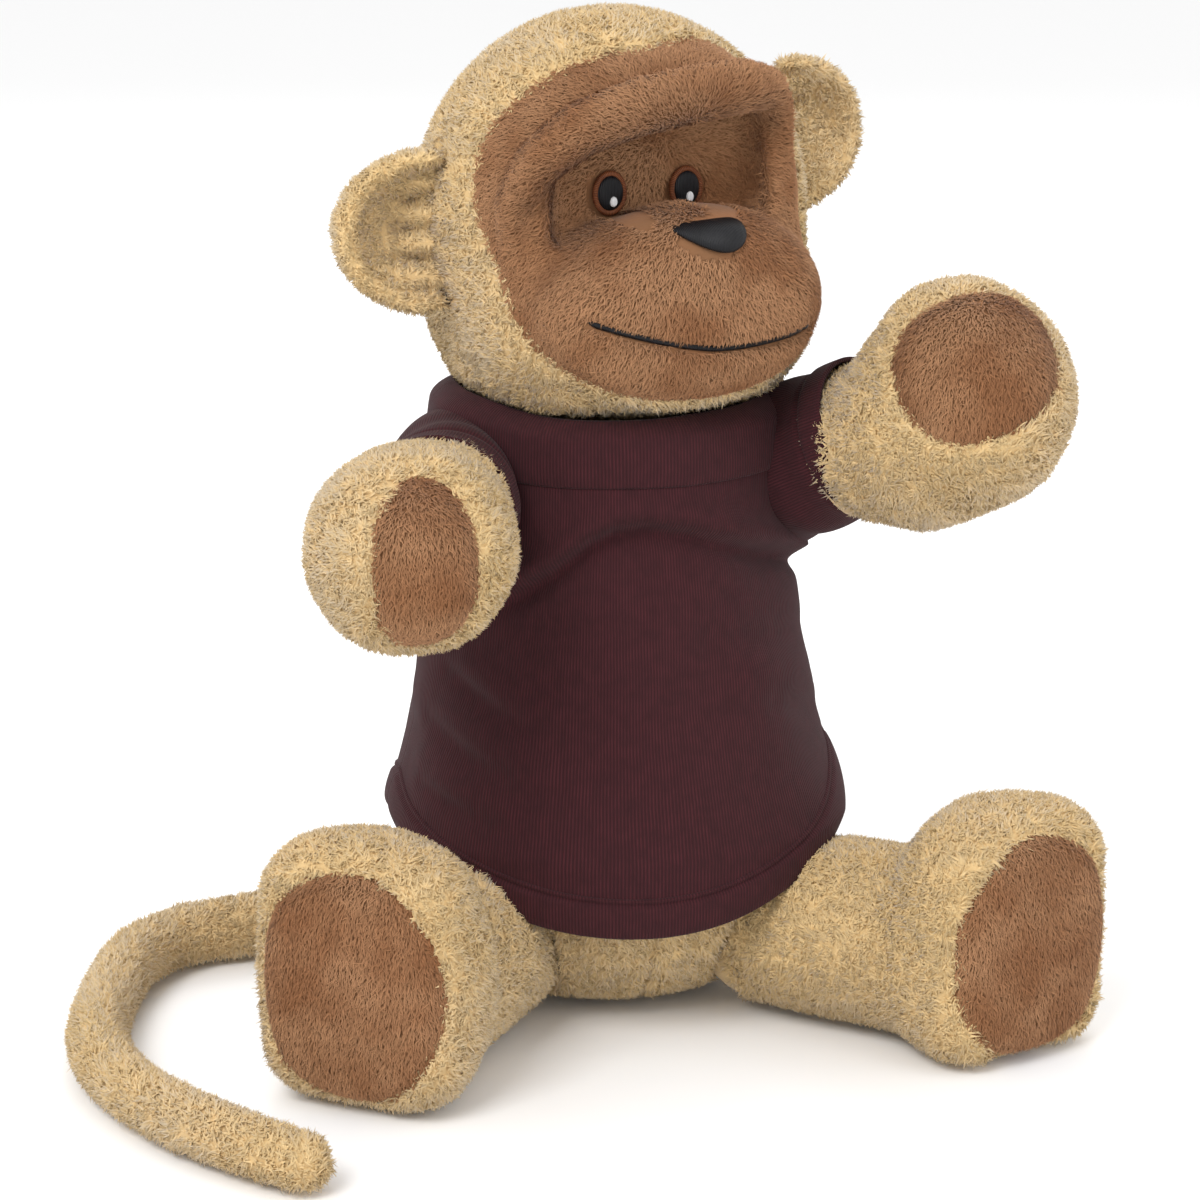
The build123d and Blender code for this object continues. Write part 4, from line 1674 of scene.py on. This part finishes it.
# ----------------------------------------------------------------------- tail
@dataclass
class Tail:
    """The long stuffed tail, in four lengths."""
    wear: Wardrobe
    route: tuple = ((-2, 44), (-10, 55), (-26, 59), (-46, 50), (-65, 40), (-90, 31),
                    (-112, 25), (-125, 12), (-131, -4), (-136, -28), (-137, -52), (-131, -74),
                    (-121, -93), (-108, -110), (-94, -124))
    radii: tuple = (10.0, 9.5, 9.0, 8.5, 8.0, 7.6, 7.3, 7.0, 6.8, 6.7, 6.6, 6.5, 6.5,
                    6.5, 6.1)
    splits: tuple = (0.0, 0.27, 0.52, 0.76, 1.0)
    half_bend: float = 7.0
    samples: int = 200
    step: float = 1.4

    def line(self, count: int) -> tuple[Array, Array]:
        """Points and radii spaced evenly along the tail's middle.

        Args:
            count: how many points.
        Returns:
            The points, and the tail's radius at each.
        """
        pts = np.array(self.route, float)
        ends = np.vstack([2 * pts[0] - pts[1], pts, 2 * pts[-1] - pts[-2]])
        out, rad = [], []
        for k in range(len(pts) - 1):
            p0, p1, p2, p3 = ends[k:k + 4]
            for t in np.linspace(0, 1, 12, endpoint=False):
                out.append(0.5 * (2 * p1 + (p2 - p0) * t + (2 * p0 - 5 * p1 + 4 * p2 - p3) * t * t
                                  + (3 * p1 - p0 - 3 * p2 + p3) * t ** 3))
                rad.append(self.radii[k] * (1 - t) + self.radii[k + 1] * t)
        out.append(pts[-1])
        rad.append(self.radii[-1])
        out, rad = np.array(out), np.array(rad)
        step = np.concatenate([[0], np.cumsum(np.linalg.norm(np.diff(out, axis=0), axis=1))])
        even = np.linspace(0, step[-1], count)
        flat = np.stack([np.interp(even, step, out[:, k]) for k in range(2)], axis=1)
        radius = np.interp(even, step, rad)
        return np.column_stack([flat, radius + 0.8]), radius

    def skin(self, p: Array) -> Array:
        """Distance field of the tail, with the seam along its inner side.

        Args:
            p: points in millimetres.
        Returns:
            Distance at each point, negative inside.
        """
        line, radius = self.line(90)
        inner = np.full(len(p), 1e9)
        for a, b, ra, rb in zip(line[:-1], line[1:], radius[:-1], radius[1:]):
            near = np.abs(p - (a + b) / 2).max(axis=1) < 22
            q = p[near]
            t = np.clip((q - a) @ (b - a) / ((b - a) @ (b - a)), 0, 1)
            off = q - a - t[:, None] * (b - a)
            gap = np.linalg.norm(off, axis=1) - (ra + (rb - ra) * t)
            side = np.array([(b - a)[1], -(b - a)[0], 0]) / np.linalg.norm((b - a)[:2])
            out = off / np.maximum(np.linalg.norm(off, axis=1), 1e-6)[:, None]
            seam = np.arccos(np.clip(out @ (side * 0.9 + np.array([0, 0, 0.43])), -1, 1))
            inner[near] = np.minimum(inner[near], gap + 0.9 * np.exp(-(seam * ra / 1.4) ** 2))
        return blend_max(inner, 0.8 - p[:, 2], 2.5)

    def build(self) -> None:
        """Mesh the tail and cut it into four lengths."""
        shell = Shell(*surface_net(self.skin, (-152, -138, -2), (14, 74, 26), self.step))
        line, _ = self.line(self.samples)
        centres = shell.centres()
        nearest = np.concatenate([np.argmin(((c[:, None, :2] - line[None, :, :2]) ** 2)
                                            .sum(axis=2), axis=1)
                                  for c in np.array_split(centres, 40)]) / (self.samples - 1)
        joints = ("tail_root", "tail_bend_1", "tail_bend_2", "tail_bend_3")
        for number in range(1, 5):
            keep = (nearest >= self.splits[number - 1]) & (nearest < self.splits[number] + (
                number == 4))
            length = shell.part(keep)

            def clear(middles: Array) -> Array:
                """Faces off the ground."""
                return middles[:, 2] > 2.2
            pieces = pile_piece(f"tail_{number}_terry", length, Pile.TERRY, self.wear,
                                70 + number, hairy=clear)
            at = joint_place(joints[number - 1])
            i = int(np.argmin(((line[:, :2] - at[:2]) ** 2).sum(axis=1)))
            i = min(max(i, 4), self.samples - 5)
            way = line[i + 4] - line[i - 4]
            way[2] = 0
            way /= np.linalg.norm(way)
            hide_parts(f"tail_{number}_skin", f"tail_{number}_stuffing")
            for piece in pieces:
                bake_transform(piece)


# ---------------------------------------------------------------------- studio
CAMERA_AZIMUTH, CAMERA_ELEVATION = -10.0, 15.0
CAMERA_DISTANCE = 0.9
CAMERA_TARGET = (-0.003, 0.0, 0.103)
CAMERA_LENS = 103.95


def studio() -> None:
    """Pale floor, soft lights, world and camera."""
    floor_finish = bpy.data.materials.new("floor_paper")
    floor_finish.use_nodes = True
    shader = floor_finish.node_tree.nodes["Principled BSDF"]
    shader.inputs["Base Color"].default_value = (0.93, 0.93, 0.93, 1)
    shader.inputs["Roughness"].default_value = 0.9
    bpy.ops.mesh.primitive_plane_add(size=60, location=(0, 0, -0.0004))
    floor = bpy.context.object
    floor.name = "floor"
    floor.data.materials.append(floor_finish)
    world = bpy.data.worlds.new("studio")
    world.use_nodes = True
    world.node_tree.nodes["Background"].inputs["Color"].default_value = (1, 1, 1, 1)
    world.node_tree.nodes["Background"].inputs["Strength"].default_value = 1.0
    bpy.context.scene.world = world
    bpy.context.scene.view_settings.view_transform = "Standard"
    for name, place, size, power in (("key", (-0.75, -0.95, 1.25), 0.7, 14.0),
                                     ("fill", (1.1, -0.9, 0.7), 0.9, 4.5),
                                     ("back", (0.2, 1.1, 1.1), 0.8, 6.0)):
        light = bpy.data.lights.new(name, "AREA")
        light.energy, light.size = power, size
        obj = bpy.data.objects.new(name, light)
        obj.location = place
        aim_at(obj, np.array([0, 0, 0.1]))
        bpy.context.scene.collection.objects.link(obj)
    azimuth, elevation = math.radians(CAMERA_AZIMUTH), math.radians(CAMERA_ELEVATION)
    back = np.array([math.sin(azimuth) * math.cos(elevation),
                     -math.cos(azimuth) * math.cos(elevation), math.sin(elevation)])
    target = np.array(CAMERA_TARGET)
    camera = bpy.data.objects.new("camera", bpy.data.cameras.new("camera"))
    camera.location = target + back * CAMERA_DISTANCE
    camera.data.lens = CAMERA_LENS
    aim_at(camera, target)
    bpy.context.scene.collection.objects.link(camera)
    bpy.context.scene.camera = camera


def aim_at(obj: bpy.types.Object, target: Array) -> None:
    """Turn a light or camera to look at a point."""
    way = Vector(target) - obj.location
    obj.rotation_euler = way.to_track_quat("-Z", "Y").to_euler()


def dress_hidden(wear: Wardrobe) -> None:
    """Give every CAD node a finish of its own slot.

    Args:
        wear: the finishes.
    """
    words = {"stuffing": wear.fill, "pellet": wear.fill, "neck": wear.fill, "shirt": wear.jersey,
             "hem": wear.jersey, "collar": wear.jersey, "sleeve": wear.jersey,
             "cuff": wear.jersey, "pad": wear.plush, "face": wear.plush, "muzzle": wear.plush,
             "brow": wear.plush, "nose": wear.black, "mouth": wear.black,
             "pupil": wear.black, "rim": wear.rust, "glint": wear.white}
    for name, node in frame["nodes"].items():
        found = [finish for word, finish in words.items() if word in name]
        node.data.materials.clear()
        node.data.materials.append(found[0] if found else wear.terry)


def main() -> None:
    """Build every piece in order, then the studio."""
    logging.basicConfig(level=logging.INFO, format="%(message)s")
    wear = Wardrobe()
    dress_hidden(wear)
    Torso(wear).build()
    Shirt(wear).build()
    Head(wear).build()
    Ear(wear, Side.LEFT, height=221.5, radius=19.8).build()
    Ear(wear, Side.RIGHT, height=203.0).build()
    Arm(wear, Side.LEFT, 42.0, 25.0, 56.0, (19.0, 17.5), (25.0, 24.0, 27.5), -0.5,
        belly=5.0, palm_place=(3.0, 5.0)).build()
    Arm(wear, Side.RIGHT, -18.7, -1.0, 22.0, (12.0, 20.0)).build()
    Leg(wear, Side.LEFT, LEG_AZIMUTH[Side.LEFT], 0.0, toe=-15.0, foot_side=12.0, foot_reach=60.0,
        foot_rise=8.0).build()
    Leg(wear, Side.RIGHT, LEG_AZIMUTH[Side.RIGHT], 0.0, foot_side=-3.0).build()
    Tail(wear).build()
    studio()
    bpy.context.view_layer.update()


if __name__ == "__main__":
    main()
